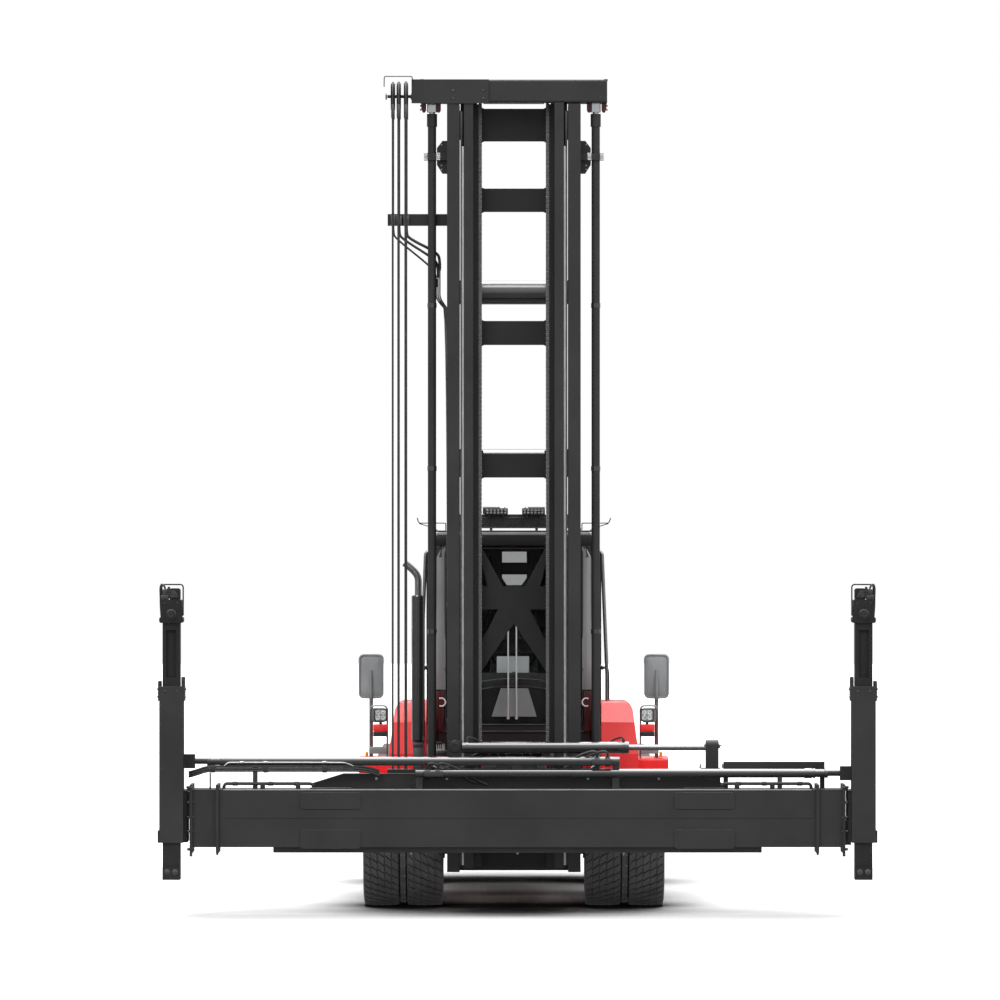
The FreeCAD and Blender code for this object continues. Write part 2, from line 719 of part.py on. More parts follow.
def roof_guard():
    """Falling-load grid on the cab roof with its work lamps."""
    top = cab_top
    front = ahead(cab_front) + 330
    rear = ahead(cab_rear) - 350
    half = 560
    tube_r = 18
    z = top + 128
    outer = rounded(block(-half - tube_r, half + tube_r, front - tube_r, rear + tube_r, z - tube_r, z + tube_r), 60, "z")
    inner = rounded(block(tube_r - half, half - tube_r, front + tube_r, rear - tube_r, z - 50, z + 50), 40, "z")
    loop = [outer.cut(inner)]
    for x in (-300, 0, 300):
        loop.append(bar((x, front, z), (x, rear, z), 12))
    for side in (-1, 1):
        for y in (front, rear):
            loop.append(bar((side * half, y, top), (side * half, y, z), tube_r - 4))
        loop.append(bar((side * 200, front, top), (side * 200, front, z), tube_r - 6))
    loop.append(bar((-half, front, top + 36), (half, front, top + 36), 10))
    for side in (-1, 1):
        x = side * 198
        loop.append(rounded(block(x - 75, x + 75, front - 60, front + 20, z + 22, z + 86), 18, "x"))
        for foot_x in (x - 45, x + 45):
            loop.append(block(foot_x - 15, foot_x + 15, front - 15, front + 15, z, z + 30))
    return joined(loop)


def exhaust_stack():
    """Silencer with a curved tail pipe, standing beside the cab."""
    x = -exhaust_x
    y = ahead(exhaust_ahead)
    silencer = bar((x, y, 1430), (x, y, 2700), 60)
    saddle = block(x - 50, x + 50, y - 50, y + 60, 900, 1430)
    arch = bar((x - 60, ahead(0), tyre_radius), (x + 60, ahead(0), tyre_radius), fender_radius + seat_gap)
    saddle = saddle.cut(arch)
    pipe = bent_bar([(x + 14, y, 2690), (x + 14, y, 2860), (x - 100, y + 20, 2990)], 37, 110)
    return joined([silencer, saddle, pipe])


def handrails():
    """Grab rails beside the cab doors."""
    rails = []
    y = ahead(-560)
    for side in (-1, 1):
        x = side * (cab_half_width + 78)
        top = cab_top - 175
        rail = bent_bar([(side * (cab_half_width - 40), y, top), (side * (cab_half_width + 34), y, top),
                         (x, y, 2000), (x, y, housing_top + seat_gap)], 16, 40)
        rails.append(rail.cut(cab_solid(0)))
    return rails


def lamp_posts():
    """Posts on the fenders with the round-cornered head lamps. The mirrors are a node of their own."""
    posts = []
    for side in (-1, 1):
        x = side * 1240
        y = ahead(120)
        stalk = bar((x, y, fender_top + seat_gap), (x, y, 1806 - seat_gap), 17)
        lamp_x = side * 1172
        lamp = rounded(block(lamp_x - 62, lamp_x + 62, y - 140, y - 40, 1600, 1722), 25, "y")
        arm = block(lamp_x - 10, x + side, y - 60, y - 10, 1640, 1680)
        front = y - 110
        foot = fender_top + seat_gap
        guard = bent_bar([(lamp_x - 74, front, foot), (lamp_x - 74, front, 1745), (lamp_x + 74, front, 1745),
                          (lamp_x + 74, front, foot)], 8, 40)
        tie = block(min(lamp_x - 74, x), max(lamp_x + 74, x), front - 5, front + 5, 1640, 1668)
        posts.append(joined([stalk, lamp, arm, guard, tie]))
    return group(posts)


def mirrors():
    """Round-cornered mirror housings on top of the lamp posts."""
    housings = []
    for side in (-1, 1):
        x = side * 1240
        y = ahead(120)
        housings.append(rounded(block(x - 108, x + 108, y - 45, y + 35, 1806, 2189), 44, "y"))
    return group(housings)


def engine_hood():
    """Hood over the engine, hinged at its front top edge."""
    front = ahead(hood_front)
    rear = ahead(hood_rear)
    bottom = frame_top + deck_thickness + seat_gap
    outline = [(front, bottom), (front, hood_top), (rear - 260, hood_top),
               (rear, hood_top - 120), (rear, bottom)]
    inner = [(front - 1, bottom - 1), (front - 1, hood_top - hood_wall),
             (rear - 272, hood_top - hood_wall), (rear - hood_wall, hood_top - 142), (rear - hood_wall, bottom - 1)]
    hood = side_plate(outline, -hood_half_width, hood_half_width)
    room = side_plate(inner, hood_wall - hood_half_width, hood_half_width - hood_wall)
    hood = hood.cut(room)
    grille = []
    for i in range(8):
        z = bottom + 90 + i * 48
        grille.append(block(-400, 400, rear - hood_wall - 5, rear + 5, z, z + 26))
    y = ahead(hood_hinge_ahead)
    leaves = []
    for x in (-420, 420):
        leaves.append(bar((x + seat_gap, y, hood_hinge_height), (x + 60, y, hood_hinge_height), hinge_radius))
        leaves.append(block(x + seat_gap, x + 60, y, y + 60, hood_top, hood_top + 6))
    return joined([hood.cut(group(grille))] + leaves)


# mast

def outer_rail(side):
    """Outer mast channel, open towards the middle."""
    y0 = ahead(mast_front)
    y1 = ahead(mast_front - rail_depth)
    x1 = side * outer_rail_x
    web = block(side * (outer_rail_x - outer_web), x1, y0, y1, outer_rail_bottom, outer_rail_top)
    front = block(side * outer_rail_lip_x, x1, y0, y0 + rail_flange, outer_rail_bottom, outer_rail_top)
    rear = block(side * outer_rail_lip_x, x1, y1 - rail_flange, y1, outer_rail_bottom, outer_rail_top)
    pieces = [web, front, rear] + lift_seats(side)
    if side < 0:
        strand_y = ahead(hose_ahead) + hose_sheave_radius + 4 + hose_radius
        pieces.append(block(-outer_rail_x, -1085, strand_y + seat_gap, strand_y + 50, hose_rear_end,
                            hose_rear_end + 100))
    return joined(pieces)


def inner_rail(side):
    """Inner mast channel with its outer guide rib and lower guide rollers."""
    y0 = ahead(mast_front)
    y1 = ahead(mast_front - inner_rail_depth)
    x1 = side * inner_web_x
    middle = ahead(mast_front - rail_depth / 2)
    web = block(side * (inner_web_x - inner_web), x1, y0, y1, inner_rail_bottom, inner_rail_top)
    front = block(side * inner_front_lip_x, x1, y0, y0 + rail_flange, inner_rail_bottom, inner_rail_top)
    rear = block(side * inner_rear_lip_x, x1, y1 - rail_flange, y1, inner_rail_bottom, inner_rail_top)
    rib = block(x1, side * guide_rib_x, middle - guide_rib_width / 2, middle + guide_rib_width / 2,
                inner_rail_bottom, inner_rail_top)
    pieces = [web, front, rear, rib]
    for z in (inner_rail_bottom + 160, inner_rail_bottom + 520):
        pieces.append(bar((x1, middle, z), (side * (outer_rail_x - outer_web - 8), middle, z), guide_roller_radius))
    return joined(pieces)


def outer_bar(low, high):
    """Cross tube behind the mast, stepped back so that the chains pass in front of it."""
    rear = ahead(mast_front - rail_depth)
    back = rear + crossbar_depth
    radius = (high - low) / 2
    pieces = [bar((100 - crossbar_bow_x, back + radius, low + radius),
                  (crossbar_bow_x - 100, back + radius, low + radius), radius)]
    for side in (-1, 1):
        pieces.append(flat_plate([(side * outer_rail_x, rear), (side * crossbar_bow_x, rear),
                                  (side * (crossbar_bow_x - 60), back), (side * (crossbar_bow_x - 110), back),
                                  (side * (crossbar_bow_x - 110), back + 150), (side * crossbar_bow_x, back + 60),
                                  (side * outer_rail_x, rear + 60)], low, high))
    return joined(pieces)


def outer_crossbars():
    """All cross members of the outer mast joined by the two back strips."""
    rear = ahead(mast_front - rail_depth)
    pieces = [outer_bar(low, high) for low, high in outer_crossbar_spans]
    pieces.append(block(-outer_rail_x, outer_rail_x, rear, rear + 40, outer_rail_bottom, 1000))
    anchor_y = ahead(chain_ahead) + 2 * chain_sheave_radius
    for side in (-1, 1):
        x = side * chain_x
        pieces.append(block(x - 26, x + 26, anchor_y - 14, rear + crossbar_depth + 90,
                            chain_rear_end - 90, chain_rear_end - seat_gap))
    pivot_y = ahead(pivot_ahead)
    outer = frame_inner_x + frame_plate
    for side in (-1, 1):
        strip = block(side * (outer_rail_x - 60), side * outer_rail_x, rear, rear + 20,
                      outer_rail_bottom, outer_rail_top)
        pieces.append(strip)
        for x0, x1 in ((frame_inner_x - 48, frame_inner_x - 8), (outer + 8, outer + 48)):
            lug = side_plate([(rear + 40, 500), (rear + 40, 820), (pivot_y + 50, 690), (pivot_y + 50, 590)],
                             side * x0, side * x1)
            pieces.append(lug)
        pieces.append(bar((side * (frame_inner_x - 48), pivot_y, pivot_height),
                          (side * (outer + 48), pivot_y, pivot_height), pivot_radius))
        tilt_y = ahead(tilt_eye_ahead)
        for offset in (-1, 1):
            x0 = side * tilt_x + offset * 38
            ear = side_plate([(rear + 20, tilt_eye_height - 110), (rear + 20, tilt_eye_height + 110),
                              (tilt_y + 40, tilt_eye_height + 45), (tilt_y + 40, tilt_eye_height - 45)],
                             x0 - 11, x0 + 11)
            pieces.append(ear)
        pieces.append(bar((side * (tilt_x - 45), tilt_y, tilt_eye_height),
                          (side * (tilt_x + 45), tilt_y, tilt_eye_height), tilt_pin_radius))
    return joined(pieces)


def lift_seats(side):
    """Foot and six-sided clamp plate that carry one lift cylinder on its outer rail."""
    y = ahead(lift_ahead)
    x = side * lift_x
    z = clamp_height
    foot = block(side * outer_rail_x, side * (lift_x + 60), y - 60, y + 60, lift_barrel_foot - 60, lift_barrel_foot)
    plate = front_plate([(side * outer_rail_x, z - 146), (side * (outer_rail_x + 40), z - 146),
                         (side * (outer_rail_x + 88), z - 70), (side * (outer_rail_x + 88), z + 75),
                         (side * (outer_rail_x + 40), z + 137), (side * outer_rail_x, z + 137)], y - 12, y + 12)
    clamp = block(side * outer_rail_x, side * (lift_x + 67), y - 50, y + 50, z - 30, z + 30)
    hole = bar((x, y, z - 150), (x, y, z + 150), lift_barrel_radius)
    return [foot, plate.cut(hole), clamp.cut(hole)]


def lift_barrel():
    """Lift cylinder barrels, open at the top for the rods."""
    y = ahead(lift_ahead)
    barrels = []
    for side in (-1, 1):
        x = side * lift_x
        barrel = bar((x, y, lift_barrel_foot), (x, y, lift_barrel_top), lift_barrel_radius)
        gland = bar((x, y, lift_barrel_top - 110), (x, y, lift_barrel_top), lift_barrel_radius + 8)
        bore = bar((x, y, lift_barrel_foot + 60), (x, y, lift_barrel_top + 1), lift_rod_radius + 1)
        barrels.append(joined([barrel, gland]).cut(bore))
    return group(barrels)


def lift_rods():
    """Lift cylinder rods under the mast header."""
    y = ahead(lift_ahead)
    rods = []
    for side in (-1, 1):
        x = side * lift_x
        rod_piece = bar((x, y, lift_barrel_foot + 90), (x, y, inner_rail_top), lift_rod_radius)
        head = rounded(block(x - 42, x + 42, y - 40, y + 40, inner_rail_top - lift_head, inner_rail_top), 12, "z")
        rods.append(joined([rod_piece, head]))
    return group(rods)


def inner_bar(low, high):
    """Cross plate between the inner rails, a little wider at its ends."""
    y1 = ahead(mast_front - inner_rail_depth)
    half = inner_rear_lip_x
    flare = crossbar_flare
    return front_plate([(-half, low - flare), (2 * flare - half, low), (half - 2 * flare, low), (half, low - flare),
                        (half, high + flare), (half - 2 * flare, high), (2 * flare - half, high),
                        (-half, high + flare)], y1 - rail_flange, y1)


def inner_crossbars():
    """Cross plates between the inner rails."""
    return group([inner_bar(low, high) for low, high in inner_crossbar_spans[:-1]])


def inner_brace():
    """Lowest cross plate of the inner mast with its four diagonal braces."""
    y1 = ahead(mast_front - inner_rail_depth)
    y0 = y1 - rail_flange
    half = inner_rear_lip_x
    low, high = inner_crossbar_spans[-1]
    pieces = [inner_bar(low, high)]
    for side in (-1, 1):
        pieces.append(front_plate([(side * half, high + 348), (side * half, high + 228), (side * 226, high - 1),
                                   (side * 93, high - 1)], y0, y1))
    pieces.append(front_plate([(-half, low - 539), (-half, low - 290), (-136, low + 1), (136, low + 1),
                               (half, low - 290), (half, low - 539), (0, low - 118)], y0, y1))
    return joined(pieces)


def mast_header():
    """Top beam of the inner mast with its chain sheaves and the hose sheave bracket."""
    z0 = inner_rail_top
    z1 = z0 + header_height
    y0 = ahead(mast_front)
    y1 = ahead(mast_front - inner_rail_depth)
    beam = rounded(block(-header_half_width, header_half_width, y0, y1, z0, z1), 20, "x")
    centre_y = ahead(chain_ahead) + chain_sheave_radius
    centre_z = z0 + chain_sheave_rise
    for side in (-1, 1):
        x = side * chain_x
        beam = beam.cut(block(x - 28, x + 28, ahead(chain_ahead) - 20, y1 + 1, z0 - 1, z1 - 12))
    plate = block(-header_left_reach, -215, y0 - 16, y0, z0 - 8, z1)
    bracket = block(-header_left_reach, -header_half_width, y0, y0 + 120, z0 + 20, z1 - 20)
    hose_y = ahead(hose_ahead)
    axle = bar((-header_left_reach + 1, hose_y, hose_sheave_height), (-1085, hose_y, hose_sheave_height), 14)
    pieces = [beam, plate, bracket, axle]
    for side in (-1, 1):
        x = side * chain_x
        pieces.append(bar((x - 30, centre_y, centre_z), (x + 30, centre_y, centre_z), 22))
        pieces.append(bar((x - 19, centre_y, centre_z), (x + 19, centre_y, centre_z), chain_sheave_radius - 12))
    for x in hose_x:
        disc = bar((-x - 18, hose_y, hose_sheave_height), (-x + 18, hose_y, hose_sheave_height), hose_sheave_radius)
        groove = Part.makeTorus(hose_sheave_radius + 4, 16, V(-x, hose_y, hose_sheave_height), V(1, 0, 0))
        pieces.append(disc.cut(groove))
    return joined(pieces)


def lift_chains():
    """Leaf chains over the header sheaves, from the outer mast to the carriage."""
    chains = []
    for side in (-1, 1):
        x = side * chain_x
        y0 = ahead(chain_ahead)
        centre_y = y0 + chain_sheave_radius
        top = inner_rail_top + chain_sheave_rise
        r = chain_sheave_radius
        arch = tube((x - 15, centre_y, top), (x + 15, centre_y, top), r + 6, r - 11.5)
        arch = arch.common(block(x - 50, x + 50, centre_y - 300, centre_y + 300, top, top + 300))
        front = block(x - 15, x + 15, y0 - 6, y0 + 11.5, chain_front_end - 60, top)
        rear = block(x - 15, x + 15, centre_y + r - 11.5, centre_y + r + 6, chain_rear_end, top)
        chains.append(joined([arch, front, rear]))
    return group(chains)


def mast_hoses():
    """Hoses over the header sheaves, front strands down to the carriage."""
    y0 = ahead(hose_ahead)
    r = hose_sheave_radius
    hoses = []
    for x in hose_x:
        arch = Part.makeTorus(r + 4, 11, V(-x, y0, hose_sheave_height), V(1, 0, 0))
        arch = arch.common(block(-x - 50, -x + 50, y0 - 300, y0 + 300, hose_sheave_height, hose_sheave_height + 300))
        front = bar((-x, y0 - r - 4, hose_front_end), (-x, y0 - r - 4, hose_sheave_height), 11)
        rear = bar((-x, y0 + r + 4, hose_rear_end), (-x, y0 + r + 4, hose_sheave_height), 11)
        hoses.append(joined([arch, front, rear]))
    return group(hoses)


# carriage and spreader

def carriage():
    """Carriage with rollers inside the inner rails and two cross rails."""
    y_mid = ahead(mast_front - inner_rail_depth / 2)
    y_rear = ahead(mast_front - inner_rail_depth + rail_flange) - 11
    y_front = ahead(carriage_front)
    pieces = []
    for side in (-1, 1):
        x0 = side * (inner_front_lip_x - 9)
        x1 = side * (inner_front_lip_x - 9 - carriage_plate)
        plate = side_plate([(y_rear, carriage_bottom), (y_rear, carriage_top), (y_mid - 160, carriage_top),
                            (y_front + 100, 1300), (y_front + 100, 1160), (y_front + 60, 1160),
                            (y_front + 60, carriage_bottom)], x0, x1)
        pieces.append(plate)
        for z in (carriage_bottom + 130, carriage_top - 130):
            pieces.append(bar((x0, y_mid, z), (side * (inner_web_x - inner_web - 8), y_mid, z), roller_radius))
        anchor = block(side * (chain_x - 45), side * (inner_front_lip_x - 9 - carriage_plate),
                       ahead(chain_ahead) - 40, ahead(chain_ahead) + 40, chain_front_end - 80, chain_front_end)
        slot = block(side * (chain_x - 22), side * (chain_x + 22), ahead(chain_ahead) - 12, ahead(chain_ahead) + 41,
                     chain_front_end - 81, chain_front_end + 1)
        anchor = anchor.cut(slot)
        pieces.append(anchor)
    for low, high in carriage_rail_spans:
        pieces.append(block(-carriage_rail_x, carriage_rail_x, y_front, y_front + 60, low, high))
    arm_y = ahead(hose_ahead) - hose_sheave_radius - 4
    pieces.append(block(-carriage_rail_x, -1080, y_front, y_front + 40, 1150, 1230))
    comb = block(-1080, -880, y_front, arm_y + 30, 1190, 1230)
    for x in hose_x:
        comb = comb.cut(bar((-x, arm_y, 1180), (-x, arm_y, 1240), hose_radius + running_gap))
    pieces.append(comb)
    y = ahead(shift_ahead)
    rail_top = carriage_rail_spans[1][1]
    for x in (shift_boss_x, -shift_boss_x + 40):
        pieces.append(block(x - 35, x + 35, y - 28, y + 28, rail_top, shift_height - shift_barrel_radius))
    pieces.append(block(shift_boss_x - 60, shift_boss_x + 60, y - 28, y + 28, shift_height - shift_barrel_radius,
                        shift_height + 60))
    return joined(pieces)


def shift_barrel():
    """Side-shift cylinder barrel carried by the carriage."""
    y = ahead(shift_ahead)
    z = shift_height
    barrel = bar((shift_boss_x + 60, y, z), (shift_barrel_end, y, z), shift_barrel_radius)
    bore = bar((shift_boss_x + 200, y, z), (shift_barrel_end + 1, y, z), shift_rod_radius + 1)
    return barrel.cut(bore)


def shift_rod():
    """Side-shift rod with its domed lug on the spreader frame."""
    y = ahead(shift_ahead)
    z = shift_height
    rod_piece = bar((shift_barrel_end - 420, y, z), (shift_lug_x, y, z), shift_rod_radius)
    lug = block(shift_lug_x - 20, shift_lug_x + 90, y - 45, y + 45, frame_plate_top, z + 20)
    cap = bar((shift_lug_x - 20, y, z + 20), (shift_lug_x + 90, y, z + 20), 45)
    base = block(shift_lug_x - 60, shift_lug_x + 100, ahead(beam_front - beam_depth + 130), y + 70, beam_top + 40,
                 frame_plate_top + 40)
    return joined([rod_piece, lug, cap, base])


def spreader_beam():
    """Two stacked tubes with end collars, for the two telescope arms."""
    x = spreader_offset
    y0 = ahead(beam_front)
    y1 = y0 + beam_depth
    middle = (beam_bottom + beam_top) / 2
    body = block(x - beam_half_length, x + beam_half_length, y0, y1, beam_bottom, beam_top)
    w = beam_wall
    for low, high in ((beam_bottom, middle), (middle, beam_top)):
        room = block(x - beam_half_length - 1, x + beam_half_length + 1, y0 + w, y1 - w, low + w * 0.7, high - w * 0.7)
        body = body.cut(room)
    pieces = [body]
    for side in (-1, 1):
        for reach in (beam_half_length - 24, beam_half_length - 246):
            x0 = x + side * reach
            plate = block(x0, x0 + side * 24, y0 - 30, y1 + 20, beam_bottom - 50, beam_top + 40)
            hole = block(x0 - 1 * side, x0 + side * 25, y0 + w, y1 - w, beam_bottom + w * 0.7, beam_top - w * 0.7)
            pieces.append(plate.cut(hole))
    return pieces


def spreader_frame():
    """Spreader beam with its collars, back frame and slide hooks."""
    pieces = spreader_beam()
    x = spreader_offset
    y1 = ahead(beam_front) + beam_depth
    wedge = 1750
    top = front_plate([(x - wedge, beam_top), (x - wedge, beam_top + 40), (x - wedge + 270, frame_plate_top),
                       (x + wedge - 270, frame_plate_top), (x + wedge, beam_top + 40), (x + wedge, beam_top)],
                      y1 - 150, y1)
    pieces.append(top)
    shelf_end = beam_half_length - 165
    shelf_y = y1 - 150
    pieces.append(block(x + wedge, x + shelf_end, shelf_y, shelf_y + 30, 1237, 1305))
    for post_x in (x + wedge, x + shelf_end - 40):
        pieces.append(block(post_x, post_x + 40, shelf_y, shelf_y + 30, beam_top, 1240))
    y_rail = ahead(carriage_front)
    for side in (-1, 1):
        x0 = x + side * hook_x - hook_half_width
        x1 = x0 + 2 * hook_half_width
        low, high = carriage_rail_spans[0]
        pieces.append(block(x0, x1, y1, y_rail - running_gap, low + 10, high - 10))
        low, high = carriage_rail_spans[1]
        pieces.append(block(x0, x1, y1, y_rail - running_gap, low + 10, high + 36))
        pieces.append(block(x0, x1, y_rail - running_gap, y_rail + 86, high + seat_gap, high + 36))
        pieces.append(block(x0, x1, y_rail + 66, y_rail + 86, high - 60, high + 36))
    return joined(pieces + [shift_rod()])


def arm_barrel(side):
    """Telescope cylinder barrel with its foot on the beam."""
    y = ahead(arm_cylinder_ahead)
    z = arm_cylinder_height[side]
    x = spreader_offset
    outer_end = x + side * arm_barrel_end
    inner_end = outer_end - side * arm_barrel_length
    barrel = bar((inner_end, y, z), (outer_end, y, z), arm_barrel_radius)
    bore = bar((inner_end + side * 60, y, z), (outer_end + side, y, z), arm_rod_radius + 1)
    back = y + arm_barrel_radius + 6
    collar = block(inner_end, inner_end + side * 60, y - 20, back + 24, z - 34, z + 34)
    foot = block(inner_end, inner_end + side * 60, back, back + 24, beam_top, z + 34)
    rest = block(outer_end - side * 300, outer_end - side * 260, y - 25, y + 25, beam_top, z)
    return joined([barrel, collar, foot, rest]).cut(bore)


def telescope(side):
    """Telescope arm with the column sleeve, its collar and the cylinder rod."""
    x = spreader_offset
    y0 = ahead(beam_front)
    w = beam_wall
    middle = (beam_bottom + beam_top) / 2
    low, high = (beam_bottom, middle) if side > 0 else (middle, beam_top)
    gap = arm_gap
    arm_outer = block(x - side * arm_inner_reach, x + side * (column_x - column_sleeve_width / 2),
                      y0 + w + gap, y0 + beam_depth - w - gap, low + w * 0.7 + gap, high - w * 0.7 - gap)
    t = arm_wall
    arm_room = block(x - side * (arm_inner_reach + 1), x + side * (column_x - column_sleeve_width / 2 - 30),
                     y0 + w + gap + t, y0 + beam_depth - w - gap - t, low + w * 0.7 + gap + t, high - w * 0.7 - gap - t)
    arm = arm_outer.cut(arm_room)
    cx = x + side * column_x
    half_x = column_sleeve_width / 2
    cy0 = ahead(column_front)
    cy1 = cy0 + column_sleeve_depth
    sleeve = block(cx - half_x, cx + half_x, cy0, cy1, column_sleeve_bottom, column_sleeve_top)
    band = block(cx + side * half_x, cx + side * (half_x + 15), cy0 + 20, cy1 - 20, column_sleeve_bottom,
                 column_sleeve_bottom + 101)
    collar = block(cx - half_x - 11, cx + half_x + 11, cy0 + 2, cy1 + 11, column_sleeve_top, collar_top)
    inner = cx - side * half_x
    plate = block(inner - side * 30, inner, y0 + 8, y0 + beam_depth - 8, beam_bottom + 40, beam_top - 8)
    web = block(inner, cx, cy1, y0 + beam_depth - 8, beam_bottom + 40, beam_top - 8)
    z = arm_cylinder_height[side]
    y = ahead(arm_cylinder_ahead)
    rod_piece = bar((x + side * (arm_barrel_end - arm_rod_inside), y, z), (inner - side * 60, y, z), arm_rod_radius)
    bracket = block(inner - side * 90, cx, y - 30, max(y + 30, cy1 + 10), z - 60, z + 60)
    outside = joined([sleeve, band, collar, plate, web, bracket, arm, rod_piece])
    room = block(cx - column_width / 2 - column_gap, cx + column_width / 2 + column_gap,
                 cy0 + column_wall, cy1 - column_wall, column_sleeve_bottom - 1, collar_top + 1)
    return outside.cut(room)


def lock_column(side):
    """Inner column with its foot, head and side lock pin."""
    x = spreader_offset + side * column_x
    cy0 = ahead(column_front) + column_wall + column_gap
    cy1 = ahead(column_front) + column_sleeve_depth - column_wall - column_gap
    half = column_width / 2
    post = block(x - half, x + half, cy0, cy1, column_foot_bottom, column_head_bottom)
    head_half = column_sleeve_width / 2
    front = ahead(column_front)
    flange_top = column_head_bottom + head_flange
    flange = rounded(block(x - head_half, x + head_half, front, cy1 + 10, column_head_bottom, flange_top), 18, "y")
    housing = rounded(block(x - head_half + 10, x + head_half - 10, front, cy1, flange_top - 4,
                            column_head_bottom + 196), 16, "y")
    actuator = rounded(block(x - side * 74, x + side * 16, front + 40, cy1 - 40, column_head_bottom + 190,
                             column_head_bottom + 292), 20, "y")
    loop_y = cy1 - 12
    loop = bent_bar([(x - side * 93, loop_y, column_head_bottom + 60), (x - side * 93, loop_y, column_head_top - 6),
                     (x + side * 88, loop_y, column_head_top - 6), (x + side * 88, loop_y, column_head_bottom + 190)],
                    6, 24)
    head = joined([flange, housing, actuator, loop])
    channel = block(x - 42, x + 42, cy0 - 1, cy0 + 30, collar_top + 80, column_head_bottom - 60)
    pad = block(x - half, x + half, ahead(column_front), cy0, column_foot_bottom, foot_pad_top)
    pin = bar((x, ahead(column_front) - lock_pin_reach, lock_pin_height), (x, cy0, lock_pin_height), lock_pin_radius)
    wear = [block(x - half - slide_pad, x + half + slide_pad, cy0 - slide_pad, cy1 + slide_pad, z, z + 120)
            for z in (1100, 1500)]
    return joined([post.cut(channel), head, pad, pin] + wear)


def tilt_cylinder(side):
    """Barrel and rod of one tilt cylinder, as two pieces."""
    base = V(side * tilt_x, ahead(tilt_base_ahead), tilt_base_height)
    eye = V(side * tilt_x, ahead(tilt_eye_ahead), tilt_eye_height)
    way = (eye - base).normalize()
    length = (eye - base).Length
    barrel = Part.makeCylinder(tilt_barrel_radius, length * 0.66 - 100, base + way * 100, way)
    neck = Part.makeCylinder(20, 90, base + way * 20, way)
    base_eye = bar((side * tilt_x - 20, base.y, base.z), (side * tilt_x + 20, base.y, base.z), 46)
    bore = Part.makeCylinder(tilt_rod_radius + 1, length * 0.5, base + way * (length * 0.3), way)
    pin_hole = bar((side * tilt_x - 30, base.y, base.z), (side * tilt_x + 30, base.y, base.z), tilt_pin_radius + 0.5)
    barrel = joined([barrel, neck, base_eye]).cut(bore).cut(pin_hole)
    rod_start = base + way * (length * 0.5)
    rod_piece = Part.makeCylinder(tilt_rod_radius, length * 0.5 - 90, rod_start, way)
    rod_neck = Part.makeCylinder(20, 80, eye - way * 100, way)
    rod_eye = bar((side * tilt_x - 20, eye.y, eye.z), (side * tilt_x + 20, eye.y, eye.z), 44)
    eye_hole = bar((side * tilt_x - 30, eye.y, eye.z), (side * tilt_x + 30, eye.y, eye.z), tilt_pin_radius + 6)
    return barrel, joined([rod_piece, rod_neck, rod_eye]).cut(eye_hole)


nodes = {}
nodes["chassis_frame"] = chassis_frame()
nodes["deck_plate"] = deck_plate()
nodes["drive_axle"] = drive_axle()
nodes["steer_axle"] = steer_axle()
nodes["counterweight"] = counterweight()
nodes["engine_and_radiator"] = engine()
nodes["cab_shell"] = cab_shell()
nodes["cab_glass"] = cab_glass()
nodes["operator_seat"] = operator_seat()
nodes["steering_console"] = steering_console()
nodes["roof_guard"] = roof_guard()
nodes["exhaust_stack"] = exhaust_stack()
nodes["handrails"] = group(handrails())
nodes["lamp_posts"] = lamp_posts()
nodes["mirrors"] = mirrors()
nodes["engine_hood"] = engine_hood()
nodes["outer_crossbars"] = outer_crossbars()
nodes["lift_barrels"] = lift_barrel()
nodes["inner_crossbars"] = inner_crossbars()
nodes["inner_brace"] = inner_brace()
nodes["mast_header"] = mast_header()
nodes["lift_rods"] = lift_rods()
nodes["lift_chains"] = lift_chains()
nodes["mast_hoses"] = mast_hoses()
nodes["carriage"] = carriage()
nodes["shift_barrel"] = shift_barrel()
nodes["spreader_frame"] = spreader_frame()

left_wheel = front_rim()
steered_wheel = rear_rim()
left_knuckle = knuckle()
left_tilt = tilt_cylinder(1)
for name, side in (("left", 1), ("right", -1)):
    nodes["front_tyres_" + name] = group([tyre(side * x, ahead(0)) for x in (inner_dual_x, outer_dual_x)])
    nodes["front_rim_" + name] = left_wheel if side > 0 else mirrored(left_wheel)
    nodes["rear_tyre_" + name] = tyre(side * steer_wheel_x, ahead(-wheelbase))
    nodes["rear_rim_" + name] = steered_wheel if side > 0 else mirrored(steered_wheel)
    nodes["knuckle_" + name] = left_knuckle if side > 0 else mirrored(left_knuckle)
    nodes["side_tank_" + name] = tank(side)
    nodes["fender_" + name] = fender(side)
    nodes["cab_door_" + name] = cab_door(side)
    nodes["door_glass_" + name] = door_glass(side)
    nodes["outer_rail_" + name] = outer_rail(side)
    nodes["inner_rail_" + name] = inner_rail(side)
    nodes["arm_barrel_" + name] = arm_barrel(side)
    nodes["telescope_" + name] = telescope(side)
    nodes["lock_column_" + name] = lock_column(side)
    barrel, rod_piece = (left_tilt if side > 0 else [mirrored(piece) for piece in left_tilt])
    nodes["tilt_barrel_" + name] = barrel
    nodes["tilt_rod_" + name] = rod_piece

os.makedirs("parts", exist_ok=True)
for name, shape in nodes.items():
    shape.exportStep("parts/" + name + ".step")
    print(name, len(shape.Solids), round(shape.Volume / 1e9, 4))
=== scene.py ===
import json
import math

import bmesh
import bpy
from mathutils import Matrix, Vector


